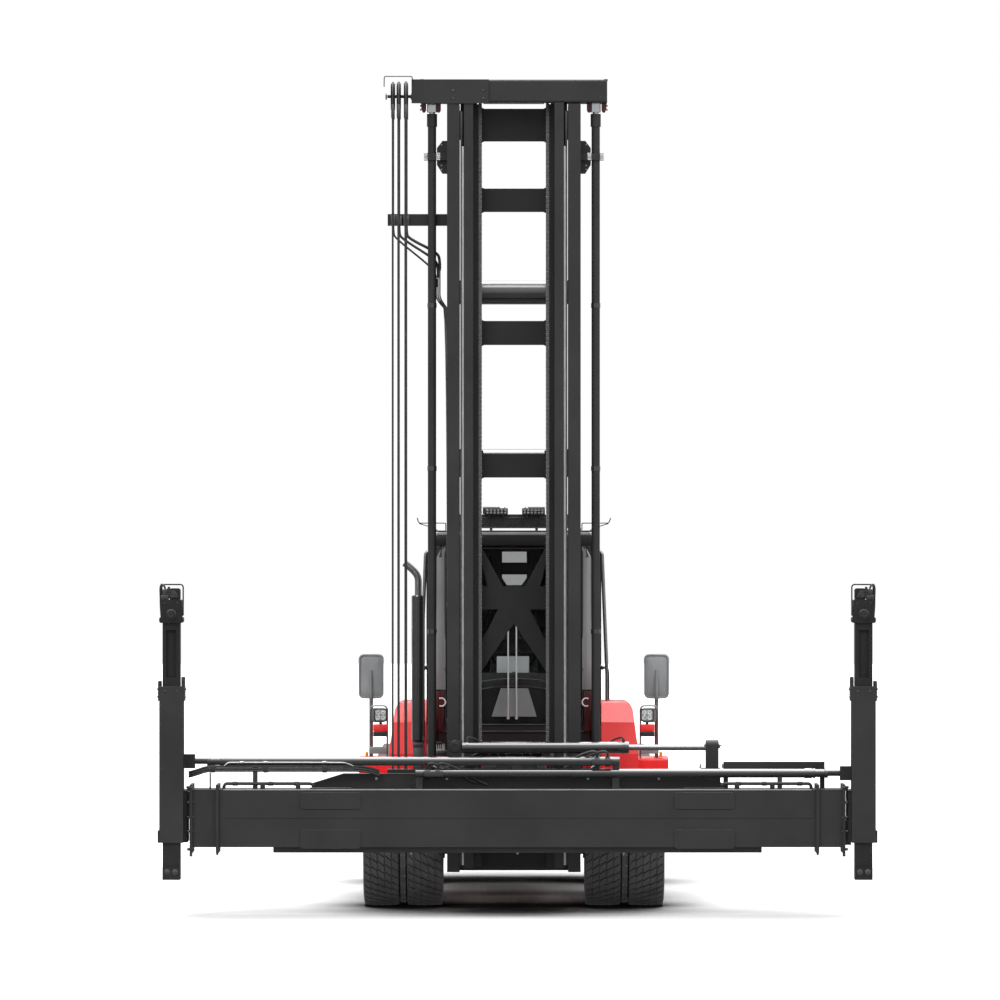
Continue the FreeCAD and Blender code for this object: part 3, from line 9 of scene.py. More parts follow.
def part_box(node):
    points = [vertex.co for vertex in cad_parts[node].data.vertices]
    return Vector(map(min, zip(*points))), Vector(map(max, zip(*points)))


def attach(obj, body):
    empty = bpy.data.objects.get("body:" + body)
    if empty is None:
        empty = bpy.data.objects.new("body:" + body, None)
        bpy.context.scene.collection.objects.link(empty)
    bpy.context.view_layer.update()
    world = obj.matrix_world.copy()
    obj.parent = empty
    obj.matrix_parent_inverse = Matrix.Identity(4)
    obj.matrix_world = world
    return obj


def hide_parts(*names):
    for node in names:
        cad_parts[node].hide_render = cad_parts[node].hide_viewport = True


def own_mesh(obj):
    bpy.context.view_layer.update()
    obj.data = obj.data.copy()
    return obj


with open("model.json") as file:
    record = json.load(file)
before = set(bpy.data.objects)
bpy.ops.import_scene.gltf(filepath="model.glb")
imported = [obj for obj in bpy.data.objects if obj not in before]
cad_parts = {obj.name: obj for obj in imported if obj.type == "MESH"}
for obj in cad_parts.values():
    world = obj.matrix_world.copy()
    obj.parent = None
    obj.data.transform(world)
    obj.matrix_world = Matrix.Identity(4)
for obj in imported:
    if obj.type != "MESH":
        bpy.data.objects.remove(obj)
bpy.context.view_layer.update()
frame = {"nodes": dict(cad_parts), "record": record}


# finishes

def newMaterial(name):
    mat = bpy.data.materials.new(name)
    mat.use_nodes = True
    tree = mat.node_tree
    tree.nodes.clear()
    out = tree.nodes.new("ShaderNodeOutputMaterial")
    shader = tree.nodes.new("ShaderNodeBsdfPrincipled")
    tree.links.new(shader.outputs[0], out.inputs[0])
    return mat, tree, shader


def addNode(tree, kind, **values):
    node = tree.nodes.new(kind)
    for key, value in values.items():
        setattr(node, key, value)
    return node


def setInputs(node, **values):
    # socket values by name, with _ for a space
    for socket, value in values.items():
        node.inputs[socket.replace("_", " ")].default_value = value


def noiseOn(tree, scale, detail=3.0, stretch=(1, 1, 1), rough=0.5):
    # noise on object coordinates, stretched by a mapping
    coords = addNode(tree, "ShaderNodeTexCoord")
    mapping = addNode(tree, "ShaderNodeMapping")
    mapping.inputs["Scale"].default_value = stretch
    noise = addNode(tree, "ShaderNodeTexNoise")
    setInputs(noise, Scale=scale, Detail=detail, Roughness=rough)
    tree.links.new(coords.outputs["Object"], mapping.inputs[0])
    tree.links.new(mapping.outputs[0], noise.inputs["Vector"])
    return noise


def rampOn(tree, source, stops):
    ramp = addNode(tree, "ShaderNodeValToRGB")
    elements = ramp.color_ramp.elements
    while len(elements) < len(stops):
        elements.new(0.5)
    for element, (place, colour) in zip(elements, stops):
        element.position = place
        element.color = (*colour, 1.0)
    tree.links.new(source, ramp.inputs[0])
    return ramp


def rangeOn(tree, source, low, high, fromLow=0.3, fromHigh=0.7):
    span = addNode(tree, "ShaderNodeMapRange")
    setInputs(span, From_Min=fromLow, From_Max=fromHigh, To_Min=low, To_Max=high)
    tree.links.new(source, span.inputs["Value"])
    return span.outputs["Result"]


def bumpOn(tree, shader, source, strength, distance):
    bump = addNode(tree, "ShaderNodeBump")
    setInputs(bump, Strength=strength, Distance=distance)
    tree.links.new(source, bump.inputs["Height"])
    tree.links.new(bump.outputs[0], shader.inputs["Normal"])


def mixColour(tree, factor, first, second, mode="MIX"):
    mix = addNode(tree, "ShaderNodeMix", data_type="RGBA", blend_type=mode)
    tree.links.new(factor, mix.inputs[0])
    for socket, value in ((mix.inputs[6], first), (mix.inputs[7], second)):
        if isinstance(value, tuple):
            socket.default_value = (*value, 1.0)
        else:
            tree.links.new(value, socket)
    return mix.outputs[2]


def addMath(tree, operation, first, second):
    node = addNode(tree, "ShaderNodeMath", operation=operation)
    tree.links.new(first, node.inputs[0])
    tree.links.new(second, node.inputs[1])
    return node.outputs[0]


def shadeBy(tree, shader, look, source, grain, start=0.3, end=0.7, pale="light"):
    # base colour from one noise and gloss from the same one or another
    colour = rampOn(tree, source, [(start, look["dark"]), (end, look[pale])])
    tree.links.new(colour.outputs[0], shader.inputs["Base Color"])
    tree.links.new(rangeOn(tree, grain, *look["gloss"]), shader.inputs["Roughness"])


def paintedSteel(name, look):
    # coat of paint: slow colour drift, road dust low down (on the red only a darker red, so it gets darker towards
    # the bottom), scuffed gloss and orange peel
    mat, tree, shader = newMaterial(name)
    drift = noiseOn(tree, look["driftScale"], 4)
    body = rampOn(tree, drift.outputs[0], [(0.3, look["dark"]), (0.7, look["light"])])
    coords = addNode(tree, "ShaderNodeTexCoord")
    parts = addNode(tree, "ShaderNodeSeparateXYZ")
    tree.links.new(coords.outputs["Object"], parts.inputs[0])
    low = rangeOn(tree, parts.outputs["Z"], look["dust"], 0.0, 0.1, look["dustTop"])
    specks = noiseOn(tree, 9, 6, (1, 1, 0.35), 0.65)
    patch = rangeOn(tree, specks.outputs[0], 0.2, 1.0, 0.35, 0.68)
    colour = mixColour(tree, addMath(tree, "MULTIPLY", low, patch), body.outputs[0], look["dustColour"])
    tree.links.new(colour, shader.inputs["Base Color"])
    scuff = noiseOn(tree, 34, 5, (1, 1, 0.25), 0.6)
    tree.links.new(rangeOn(tree, scuff.outputs[0], *look["gloss"]), shader.inputs["Roughness"])
    peel = noiseOn(tree, look["peelScale"], 2)
    bumpOn(tree, shader, peel.outputs[0], look["peel"], 0.001)
    setInputs(shader, Coat_Weight=look["coat"], Coat_Roughness=look["coatRough"], Coat_IOR=look["coatIor"],
              Specular_IOR_Level=look["specular"])
    return mat


def bareMetal(name, look):
    # turned, drawn or brushed metal, with fine lines along one direction
    mat, tree, shader = newMaterial(name)
    lines = noiseOn(tree, look["lineScale"], 3, look["stretch"], 0.6)
    shadeBy(tree, shader, look, lines.outputs[0], lines.outputs[0])
    bumpOn(tree, shader, lines.outputs[0], look["bump"], 0.0006)
    shader.inputs["Metallic"].default_value = look["metallic"]
    return mat


def rubberCompound(name, look):
    mat, tree, shader = newMaterial(name)
    dust = noiseOn(tree, look["dustScale"], 6, (1, 1, 1), 0.65)
    grain = noiseOn(tree, look["grainScale"], 4)
    shadeBy(tree, shader, look, dust.outputs[0], grain.outputs[0], 0.35, 0.72, "dusty")
    bumpOn(tree, shader, grain.outputs[0], look["bump"], 0.001)
    return mat


def mouldedPlastic(name, look):
    mat, tree, shader = newMaterial(name)
    grain = addNode(tree, "ShaderNodeTexVoronoi")
    coords = addNode(tree, "ShaderNodeTexCoord")
    grain.inputs["Scale"].default_value = look["grainScale"]
    tree.links.new(coords.outputs["Object"], grain.inputs["Vector"])
    shade = noiseOn(tree, 5, 3)
    shadeBy(tree, shader, look, shade.outputs[0], shade.outputs[0])
    bumpOn(tree, shader, grain.outputs["Distance"], look["bump"], 0.0008)
    return mat


def wovenCloth(name, look):
    mat, tree, shader = newMaterial(name)
    coords = addNode(tree, "ShaderNodeTexCoord")
    heights = []
    for axis in ("X", "Z"):
        wave = addNode(tree, "ShaderNodeTexWave", bands_direction=axis)
        setInputs(wave, Scale=look["threads"], Distortion=0.6)
        tree.links.new(coords.outputs["Object"], wave.inputs["Vector"])
        heights.append(wave.outputs["Color"])
    crossed = mixColour(tree, heights[0], heights[1], (1.0, 1.0, 1.0), "MULTIPLY")
    colour = mixColour(tree, crossed, look["dark"], look["light"])
    tree.links.new(colour, shader.inputs["Base Color"])
    bumpOn(tree, shader, crossed, 0.5, 0.0012)
    setInputs(shader, Roughness=0.85, Sheen_Weight=0.25)
    return mat


def clearGlass(name, look):
    mat, tree, shader = newMaterial(name)
    film = noiseOn(tree, 3, 5)
    tree.links.new(rangeOn(tree, film.outputs[0], *look["gloss"]), shader.inputs["Roughness"])
    setInputs(shader, Base_Color=(*look["tint"], 1.0), Transmission_Weight=look["clear"], IOR=look["ior"])
    return mat


plainPaint = {"dust": 0.1, "dustTop": 0.9, "dustColour": (0.06, 0.058, 0.054), "coat": 0.0, "coatRough": 0.3,
              "coatIor": 1.5, "specular": 0.5, "driftScale": 1.6, "peelScale": 320}
plainMetal = {"stretch": (1, 1, 1), "metallic": 0.9}
paints = {
    # its dust colour is only a darker red, so the paint goes darker towards the bottom
    "bodyRed": {"dark": (0.8, 0.024, 0.026), "light": (0.92, 0.033, 0.035), "dust": 0.12, "dustTop": 1.1,
                "dustColour": (0.42, 0.04, 0.035), "gloss": (0.27, 0.33), "coat": 0.3, "coatRough": 0.05,
                "driftScale": 1.3, "peelScale": 260, "peel": 0.015, "specular": 0.36},
    "mastBlack": {"dark": (0.021, 0.021, 0.022), "light": (0.029, 0.029, 0.03), "dust": 0.2, "gloss": (0.34, 0.46),
                  "peel": 0.12, "specular": 0.25},
    # darker copy of the mast paint: painted shade on the recessed cross bars and brace, the lock columns and the roof
    # shields; the weld lines are drawn in it too
    "crossBlack": {"dark": (0.012, 0.012, 0.013), "light": (0.018, 0.018, 0.019), "dust": 0.2, "gloss": (0.36, 0.48),
                   "peel": 0.12, "specular": 0.2},
    "barrelBlack": {"dark": (0.013, 0.013, 0.014), "light": (0.02, 0.02, 0.021), "gloss": (0.2, 0.28), "coat": 1.0,
                    "coatRough": 0.1, "coatIor": 1.75, "peel": 0.06, "specular": 0.4},
    "cabGrey": {"dark": (0.014, 0.014, 0.015), "light": (0.02, 0.02, 0.021), "dustTop": 1.8,
                "dustColour": (0.05, 0.048, 0.045), "gloss": (0.4, 0.5), "coat": 0.1, "coatRough": 0.08,
                "peel": 0.05},
    "pillarGrey": {"dark": (0.16, 0.16, 0.162), "light": (0.25, 0.25, 0.253), "dustTop": 1.8,
                   "dustColour": (0.12, 0.115, 0.11), "gloss": (0.12, 0.2), "coat": 0.9, "coatRough": 0.05,
                   "driftScale": 1.2, "peel": 0.03},
    # body red darkened: painted shade, for the rod cheeks under the header and the panels beside the cab sill
    "deepRed": {"dark": (0.045, 0.002, 0.003), "light": (0.075, 0.004, 0.005), "dustTop": 1.3,
                "dustColour": (0.08, 0.03, 0.03), "gloss": (0.3, 0.42), "coat": 0.2, "coatRough": 0.1,
                "driftScale": 1.3, "peelScale": 260, "peel": 0.1},
    "chassisDark": {"dark": (0.016, 0.016, 0.017), "light": (0.026, 0.026, 0.027), "dust": 0.45, "dustTop": 1.4,
                    "dustColour": (0.1, 0.09, 0.075), "gloss": (0.46, 0.62), "driftScale": 2.2, "peelScale": 240,
                    "peel": 0.2},
    "weightPaint": {"dark": (0.03, 0.031, 0.033), "light": (0.048, 0.049, 0.051), "dust": 0.25, "dustTop": 1.1,
                    "dustColour": (0.11, 0.1, 0.085), "gloss": (0.42, 0.6), "coat": 0.1, "driftScale": 1.1,
                    "peelScale": 75, "peel": 0.55},
    "rimPaint": {"dark": (0.5, 0.51, 0.52), "light": (0.62, 0.63, 0.64), "dust": 0.5, "dustTop": 1.1,
                 "dustColour": (0.2, 0.18, 0.15), "gloss": (0.32, 0.5), "coat": 0.2, "coatRough": 0.2,
                 "driftScale": 3.0, "peelScale": 240, "peel": 0.12},
    "engineGrey": {"dark": (0.085, 0.09, 0.095), "light": (0.13, 0.135, 0.14), "dust": 0.2, "dustTop": 1.6,
                   "dustColour": (0.05, 0.045, 0.04), "gloss": (0.4, 0.6), "driftScale": 4.0, "peelScale": 120,
                   "peel": 0.4},
    "plateGrey": {"dark": (0.2, 0.205, 0.21), "light": (0.27, 0.275, 0.28), "dust": 0.15, "dustTop": 1.4,
                  "dustColour": (0.16, 0.15, 0.13), "gloss": (0.3, 0.45), "coat": 0.1, "coatRough": 0.2,
                  "driftScale": 3.0, "peelScale": 220, "peel": 0.15},
    "warnWhite": {"dark": (0.72, 0.72, 0.71), "light": (0.82, 0.82, 0.81), "dustTop": 1.3,
                  "dustColour": (0.4, 0.38, 0.34), "gloss": (0.25, 0.4), "coat": 0.3, "coatRough": 0.1,
                  "driftScale": 4.0, "peelScale": 240, "peel": 0.1},
}
metals = {
    "rodChrome": {"dark": (0.52, 0.53, 0.55), "light": (0.68, 0.69, 0.71), "lineScale": 60, "gloss": (0.1, 0.2),
                  "bump": 0.04, "metallic": 1.0},
    "chainSteel": {"dark": (0.1, 0.1, 0.1), "light": (0.19, 0.19, 0.185), "lineScale": 80, "gloss": (0.28, 0.5),
                   "bump": 0.3},
    "pipeSteel": {"dark": (0.2, 0.2, 0.21), "light": (0.34, 0.34, 0.35), "lineScale": 90, "stretch": (3, 3, 0.2),
                  "gloss": (0.24, 0.4), "bump": 0.15},
    "boltZinc": {"dark": (0.3, 0.3, 0.29), "light": (0.5, 0.5, 0.49), "lineScale": 140, "gloss": (0.3, 0.5),
                 "bump": 0.25},
    "brightSteel": {"dark": (0.5, 0.5, 0.51), "light": (0.72, 0.72, 0.73), "lineScale": 120, "stretch": (1, 1, 0.05),
                    "gloss": (0.2, 0.36), "bump": 0.12, "metallic": 1.0},
    "darkSteel": {"dark": (0.055, 0.055, 0.057), "light": (0.1, 0.1, 0.103), "lineScale": 90, "stretch": (1, 1, 0.3),
                  "gloss": (0.34, 0.5), "bump": 0.2, "metallic": 0.6},
    "mirrorGlass": {"dark": (0.8, 0.81, 0.82), "light": (0.86, 0.87, 0.88), "lineScale": 3, "gloss": (0.02, 0.04),
                    "bump": 0.0, "metallic": 1.0},
}
rubbers = {
    "tyreRubber": {"dark": (0.062, 0.062, 0.063), "dusty": (0.1, 0.098, 0.094), "dustScale": 5.5, "grainScale": 150,
                   "gloss": (0.62, 0.82), "bump": 0.35},
    "hoseRubber": {"dark": (0.01, 0.01, 0.011), "dusty": (0.026, 0.026, 0.026), "dustScale": 12, "grainScale": 300,
                   "gloss": (0.42, 0.55), "bump": 0.2},
    "sealRubber": {"dark": (0.008, 0.008, 0.009), "dusty": (0.018, 0.018, 0.018), "dustScale": 8, "grainScale": 200,
                   "gloss": (0.55, 0.7), "bump": 0.2},
}
plastics = {
    "trimPlastic": {"dark": (0.014, 0.014, 0.015), "light": (0.024, 0.024, 0.025), "grainScale": 420,
                    "gloss": (0.48, 0.62), "bump": 0.25},
    "greyPlastic": {"dark": (0.16, 0.165, 0.17), "light": (0.23, 0.235, 0.24), "grainScale": 380,
                    "gloss": (0.4, 0.55), "bump": 0.2},
    "lampHousing": {"dark": (0.02, 0.02, 0.021), "light": (0.032, 0.032, 0.033), "grainScale": 520,
                    "gloss": (0.3, 0.42), "bump": 0.12},
}
glasses = {
    "cabGlass": {"tint": (0.7, 0.71, 0.71), "clear": 1.0, "ior": 1.12, "gloss": (0.0, 0.012)},
    "lampGlass": {"tint": (0.93, 0.95, 0.96), "clear": 0.75, "ior": 1.25, "gloss": (0.02, 0.07)},
    "amberGlass": {"tint": (0.95, 0.33, 0.02), "clear": 0.35, "ior": 1.3, "gloss": (0.08, 0.16)},
    "redGlass": {"tint": (0.62, 0.01, 0.01), "clear": 0.3, "ior": 1.3, "gloss": (0.08, 0.16)},
}
mats = {}
for make, table, plain in ((paintedSteel, paints, plainPaint), (bareMetal, metals, plainMetal),
                           (rubberCompound, rubbers, {}), (mouldedPlastic, plastics, {}), (clearGlass, glasses, {})):
    for name, look in table.items():
        mats[name] = make(name, {**plain, **look})
mats["seatCloth"] = wovenCloth("seatCloth",
                               {"threads": 90, "dark": (0.012, 0.012, 0.014), "light": (0.05, 0.05, 0.055)})

slotLooks = {
    "body_red": "bodyRed", "mast_black": "mastBlack", "chassis_dark": "chassisDark", "weight_paint": "weightPaint",
    "tyre_rubber": "tyreRubber", "rim_paint": "rimPaint", "cab_glass": "cabGlass", "seat_cloth": "seatCloth",
    "trim_plastic": "trimPlastic", "rod_chrome": "rodChrome", "engine_grey": "engineGrey",
    "chain_steel": "chainSteel", "hose_rubber": "hoseRubber", "mirror_grey": "greyPlastic",
}

lookNodes = {
    "barrelBlack": ("arm_barrel_left", "arm_barrel_right", "shift_barrel", "tilt_barrel_left", "tilt_barrel_right"),
    "mastBlack": ("lift_barrels",),
    # cross bars, brace and lock columns take the darker mast paint as painted shade
    "crossBlack": ("outer_crossbars", "inner_crossbars", "inner_brace", "lock_column_left", "lock_column_right"),
    "cabGrey": ("cab_shell", "cab_door_left", "cab_door_right"),
    "pipeSteel": ("handrails", "lamp_posts"),
}
nodeLooks = {node: look for look, nodes in lookNodes.items() for node in nodes}
for subpart in frame["record"]["subparts"]:
    look = nodeLooks.get(subpart["node"], slotLooks[subpart["material_slot"]])
    for slot in frame["nodes"][subpart["node"]].material_slots:
        slot.material = mats[look]
print("materials:", len(mats))


# stage, lights and camera

studio = {"floorSize": 90, "floorShade": 0.92, "floorGain": 1.45, "paintedShadowReach": 1.15, "paintedShadowDark": 0.03,
          "paintedShadowFrom": 0.46, "paintedShadowTo": 0.9, "sky": 0.68, "key": 1.35, "fill": 0.9, "rim": 0.7, "overhead": 6.5,
          "ahead": 0.55, "mirrored": 0.22}


def layFloor():
    bm = bmesh.new()
    bmesh.ops.create_circle(bm, cap_ends=True, segments=96, radius=studio["floorSize"])
    mesh = bpy.data.meshes.new("floor")
    bm.to_mesh(mesh)
    floor = bpy.data.objects.new("floor", mesh)
    bpy.context.scene.collection.objects.link(floor)
    mat, tree, shader = newMaterial("floorPaper")
    shader.inputs["Base Color"].default_value = (studio["floorShade"],) * 3 + (1,)
    shader.inputs["Roughness"].default_value = 0.9
    rays = addNode(tree, "ShaderNodeLightPath")
    # seen by the camera: white paper with a painted contact shadow, darker where the machine stands close over it
    near = addNode(tree, "ShaderNodeAmbientOcclusion", samples=16)
    near.inputs["Distance"].default_value = studio["paintedShadowReach"]
    shade = rangeOn(tree, near.outputs["AO"], studio["paintedShadowDark"], studio["floorGain"], studio["paintedShadowFrom"],
                    studio["paintedShadowTo"])
    paper = addNode(tree, "ShaderNodeBsdfDiffuse")
    tree.links.new(shade, paper.inputs["Color"])
    seen = addNode(tree, "ShaderNodeMixShader")
    tree.links.new(rays.outputs["Is Camera Ray"], seen.inputs[0])
    tree.links.new(shader.outputs[0], seen.inputs[1])
    tree.links.new(paper.outputs[0], seen.inputs[2])
    plain = addNode(tree, "ShaderNodeEmission")
    plain.inputs[1].default_value = studio["mirrored"]
    mix = addNode(tree, "ShaderNodeMixShader")
    tree.links.new(rays.outputs["Is Glossy Ray"], mix.inputs[0])
    tree.links.new(seen.outputs[0], mix.inputs[1])
    tree.links.new(plain.outputs[0], mix.inputs[2])
    tree.links.new(mix.outputs[0], tree.get_output_node("ALL").inputs[0])
    mesh.materials.append(mat)


def lightStudio():
    world = bpy.data.worlds.new("studio")
    world.use_nodes = True
    bpy.context.scene.world = world
    tree = world.node_tree
    tree.nodes.clear()
    out = tree.nodes.new("ShaderNodeOutputWorld")
    soft = tree.nodes.new("ShaderNodeBackground")
    white = tree.nodes.new("ShaderNodeBackground")
    soft.inputs[0].default_value = (1, 1, 1, 1)
    soft.inputs[1].default_value = studio["sky"]
    white.inputs[0].default_value = (1, 1, 1, 1)
    coords = tree.nodes.new("ShaderNodeTexCoord")
    parts = tree.nodes.new("ShaderNodeSeparateXYZ")
    tree.links.new(coords.outputs["Generated"], parts.inputs[0])
    ahead = rangeOn(tree, parts.outputs["Z"], studio["ahead"], 1.0, 0.0, 0.5)
    overhead = rangeOn(tree, parts.outputs["Z"], 0.0, studio["overhead"], 0.72, 0.95)
    plain = addNode(tree, "ShaderNodeMix", data_type="FLOAT")
    plain.inputs[2].default_value = 1.0
    tree.links.new(addMath(tree, "ADD", ahead, overhead), plain.inputs[3])
    tree.links.new(plain.outputs[0], white.inputs[1])
    rays = tree.nodes.new("ShaderNodeLightPath")
    tree.links.new(rays.outputs["Is Glossy Ray"], plain.inputs[0])
    seen = addMath(tree, "MAXIMUM", rays.outputs["Is Camera Ray"], rays.outputs["Is Transmission Ray"])
    bright = addMath(tree, "MAXIMUM", seen, rays.outputs["Is Glossy Ray"])
    mix = tree.nodes.new("ShaderNodeMixShader")
    tree.links.new(bright, mix.inputs[0])
    tree.links.new(soft.outputs[0], mix.inputs[1])
    tree.links.new(white.outputs[0], mix.inputs[2])
    tree.links.new(mix.outputs[0], out.inputs[0])
    suns = {"keyLight": (studio["key"], (math.radians(52), 0, math.radians(-28)), 0.45),
            "fillLight": (studio["fill"], (math.radians(62), 0, math.radians(48)), 0.6),
            "rimLight": (studio["rim"], (math.radians(38), 0, math.radians(170)), 0.5),}
    for name, (power, turn, spread) in suns.items():
        lamp = bpy.data.lights.new(name, "SUN")
        lamp.energy = power
        lamp.angle = spread
        light = bpy.data.objects.new(name, lamp)
        light.rotation_euler = turn
        bpy.context.scene.collection.objects.link(light)


view = {"lens": 255.7, "sensor": 36, "shift": -0.01385, "reach": 300, "place": (0, -63.3525, 3.529)}


def setCamera():
    cam = bpy.data.cameras.new("camera")
    cam.lens = view["lens"]
    cam.sensor_width = view["sensor"]
    cam.shift_x = view["shift"]
    cam.clip_end = view["reach"]
    camera = bpy.data.objects.new("camera", cam)
    camera.location = view["place"]
    camera.rotation_euler = (math.radians(90), 0, 0)
    bpy.context.scene.collection.objects.link(camera)
    bpy.context.scene.camera = camera


layFloor()
lightStudio()
setCamera()
bpy.context.scene.view_settings.view_transform = "Standard"
print("stage, lights and camera set")


# shape helpers: each adds to a bmesh, and finishPiece turns that into a piece of the machine


def pointOn(axis, along, across, up):
    # a point from its place along an axis and its places on the other two axes
    if axis == "x":
        return Vector((along, across, up))
    if axis == "y":
        return Vector((across, along, up))
    return Vector((across, up, along))


def pointsFrom(x, y, z, way=1):
    # places counted from a point, with x towards one side of the machine
    return lambda across, along, up: (x + way * across, y + along, z + up)


def edgesOf(points):
    return list({edge for point in points for edge in point.link_edges})


def addBox(bm, low, high, edge=0.0, rounds=2, corner=None, turn=None):
    # block with all edges rounded, or only those along one axis when corner = (axis, radius)
    low, high = Vector(low), Vector(high)
    size = [abs(high[i] - low[i]) for i in range(3)]
    points = bmesh.ops.create_cube(bm, size=1, matrix=Matrix.Diagonal((*size, 1)))["verts"]
    if corner:
        way = "xyz".index(corner[0])
        edges = [e for e in edgesOf(points) if abs(e.verts[0].co[way] - e.verts[1].co[way]) > size[way] / 2]
        made = bmesh.ops.bevel(bm, geom=edges, offset=corner[1], segments=6, profile=0.5, affect="EDGES", material=-1)
        points = list({v for f in made["faces"] for v in f.verts})
    if edge:
        edges = edgesOf(points)
        if corner:
            edges = [e for e in edges if len(e.link_faces) == 2 and e.calc_face_angle() > 1.2]
        made = bmesh.ops.bevel(bm, geom=edges, offset=edge, segments=rounds, profile=0.5, affect="EDGES", material=-1)
        points = list({v for f in made["faces"] for v in f.verts} | {v for v in points if v.is_valid})
    points = list({v for point in points if point.is_valid for f in point.link_faces for v in f.verts})
    matrix = Matrix.Translation((low + high) / 2) @ (turn or Matrix.Identity(4))
    bmesh.ops.transform(bm, matrix=matrix, verts=points)
    return points


def addRod(bm, start, end, radius, sides=20, endRadius=None, chamfer=0.0):
    start, end = Vector(start), Vector(end)
    line = end - start
    turn = line.to_track_quat("Z", "Y").to_matrix().to_4x4()
    points = bmesh.ops.create_cone(bm, cap_ends=True, segments=sides, radius1=radius,
                                   radius2=radius if endRadius is None else endRadius, depth=line.length,
                                   matrix=Matrix.Translation((start + end) / 2) @ turn)["verts"]
    if chamfer:
        rims = [e for e in edgesOf(points) if any(len(f.verts) == sides for f in e.link_faces)]
        bmesh.ops.bevel(bm, geom=rims, offset=chamfer, segments=2, profile=0.5, affect="EDGES", material=-1)
    return points


def addTurned(bm, profile, centre, axis="x", sides=48):
    # turned shape: profile is a list of (along, radius), open at poles on the axis or closed on itself
    way = {"x": Vector((1, 0, 0)), "y": Vector((0, 1, 0)), "z": Vector((0, 0, 1))}[axis]
    out = Vector((0, 0, 1)) if axis != "z" else Vector((1, 0, 0))
    centre = Vector(centre)
    points = [bm.verts.new(centre + way * along + out * radius) for along, radius in profile]
    closed = profile[0][1] > 0 and profile[-1][1] > 0
    rows = zip(points, points[1:] + points[:1]) if closed else zip(points, points[1:])
    edges = [bm.edges.new(pair) for pair in rows]
    bmesh.ops.spin(bm, geom=points + edges, cent=centre, axis=way, dvec=(0, 0, 0), angle=2 * math.pi, steps=sides,
                   use_merge=True)
    poles = [v for v in bm.verts if ((v.co - centre) - way * (v.co - centre).dot(way)).length < 1e-6]
    if poles:
        bmesh.ops.remove_doubles(bm, verts=poles, dist=1e-5)


def addBand(bm, centre, axis, half, inner, outer, sides, slope=0.0):
    # ring of square section about a centre, or with its outer edges cut back by a slope
    addTurned(bm, [(-half, inner), (slope - half, outer), (half - slope, outer), (half, inner)], centre, axis, sides)


def addPlate(bm, outline, axis, near, far, edge=0.0):
    # flat plate: outline points lie across the axis, and the plate runs from near to far along it
    points = [bm.verts.new(pointOn(axis, near, across, up)) for across, up in outline]
    face = bm.faces.new(points)
    made = bmesh.ops.extrude_face_region(bm, geom=[face])["geom"]
    pushed = [item for item in made if isinstance(item, bmesh.types.BMVert)]
    bmesh.ops.translate(bm, verts=pushed, vec=pointOn(axis, far - near, 0, 0))
    if edge:
        bmesh.ops.bevel(bm, geom=edgesOf(points + pushed), offset=edge, segments=1, profile=0.5, affect="EDGES",
                        material=-1)


def roundRing(axis, along, low, high, radius, steps=4):
    # ring of points round a round-cornered rectangle; low and high are (across, up)
    ring = []
    for across, up, start in ((high[0] - radius, high[1] - radius, 0), (low[0] + radius, high[1] - radius, 90),
                              (low[0] + radius, low[1] + radius, 180), (high[0] - radius, low[1] + radius, 270)):
        for i in range(steps + 1):
            angle = math.radians(start + 90 * i / steps)
            ring.append(pointOn(axis, along, across + radius * math.cos(angle), up + radius * math.sin(angle)))
    return ring


def addLoft(bm, rings, closed=False):
    # skin through rings of points, with its two ends filled unless it closes on itself
    rows = [[bm.verts.new(point) for point in ring] for ring in rings]
    pairs = list(zip(rows, rows[1:])) + ([(rows[-1], rows[0])] if closed else [])
    for first, second in pairs:
        for i in range(len(first)):
            j = (i + 1) % len(first)
            bm.faces.new((first[i], first[j], second[j], second[i]))
    if not closed:
        bm.faces.new(rows[0])
        bm.faces.new(rows[-1])


def addBolt(bm, place, way, size):
    # six-sided head on a washer
    place, way = Vector(place), Vector(way).normalized()
    addRod(bm, place, place + way * size * 0.18, size * 0.72, 12)
    addRod(bm, place + way * size * 0.18, place + way * size * 0.8, size * 0.55, 6)


def addPipe(bm, points, radius, sides=3, closed=False):
    # round bar, pipe or hose along a smooth curve near the points
    curve = bpy.data.curves.new("route", "CURVE")
    curve.dimensions = "3D"
    curve.bevel_depth = radius
    curve.bevel_resolution = sides
    curve.resolution_u = 6
    curve.use_fill_caps = True
    spline = curve.splines.new("NURBS")
    spline.points.add(len(points) - 1)
    for item, place in zip(spline.points, points):
        item.co = (*place, 1)
    spline.use_cyclic_u = closed
    spline.order_u = 3
    spline.use_endpoint_u = not closed
    route = bpy.data.objects.new("route", curve)
    mesh = bpy.data.meshes.new_from_object(route)
    bm.from_mesh(mesh)
    bpy.data.objects.remove(route)
    bpy.data.curves.remove(curve)
    bpy.data.meshes.remove(mesh)


def addMirrored(bm, centre=0.0):
    # repeats all that the bmesh holds on the other side of the machine
    geometry = list(bm.verts) + list(bm.edges) + list(bm.faces)
    made = bmesh.ops.duplicate(bm, geom=geometry)["geom"]
    points = [v for v in made if isinstance(v, bmesh.types.BMVert)]
    for point in points:
        point.co.x = 2 * centre - point.co.x
    bmesh.ops.reverse_faces(bm, faces=[f for f in made if isinstance(f, bmesh.types.BMFace)])


def finishPiece(name, bm, look, body, replaces=(), smooth=35):
    bmesh.ops.remove_doubles(bm, verts=bm.verts, dist=1e-6)
    bmesh.ops.recalc_face_normals(bm, faces=bm.faces)
    mesh = bpy.data.meshes.new(name)
    bm.to_mesh(mesh)
    bm.free()
    mesh.shade_smooth()
    mesh.set_sharp_from_angle(angle=math.radians(smooth))
    mesh.materials.clear()
    mesh.materials.append(mats[look])
    piece = bpy.data.objects.new(name, mesh)
    bpy.context.scene.collection.objects.link(piece)
    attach(piece, body)
    if replaces:
        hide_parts(*replaces)
    return piece


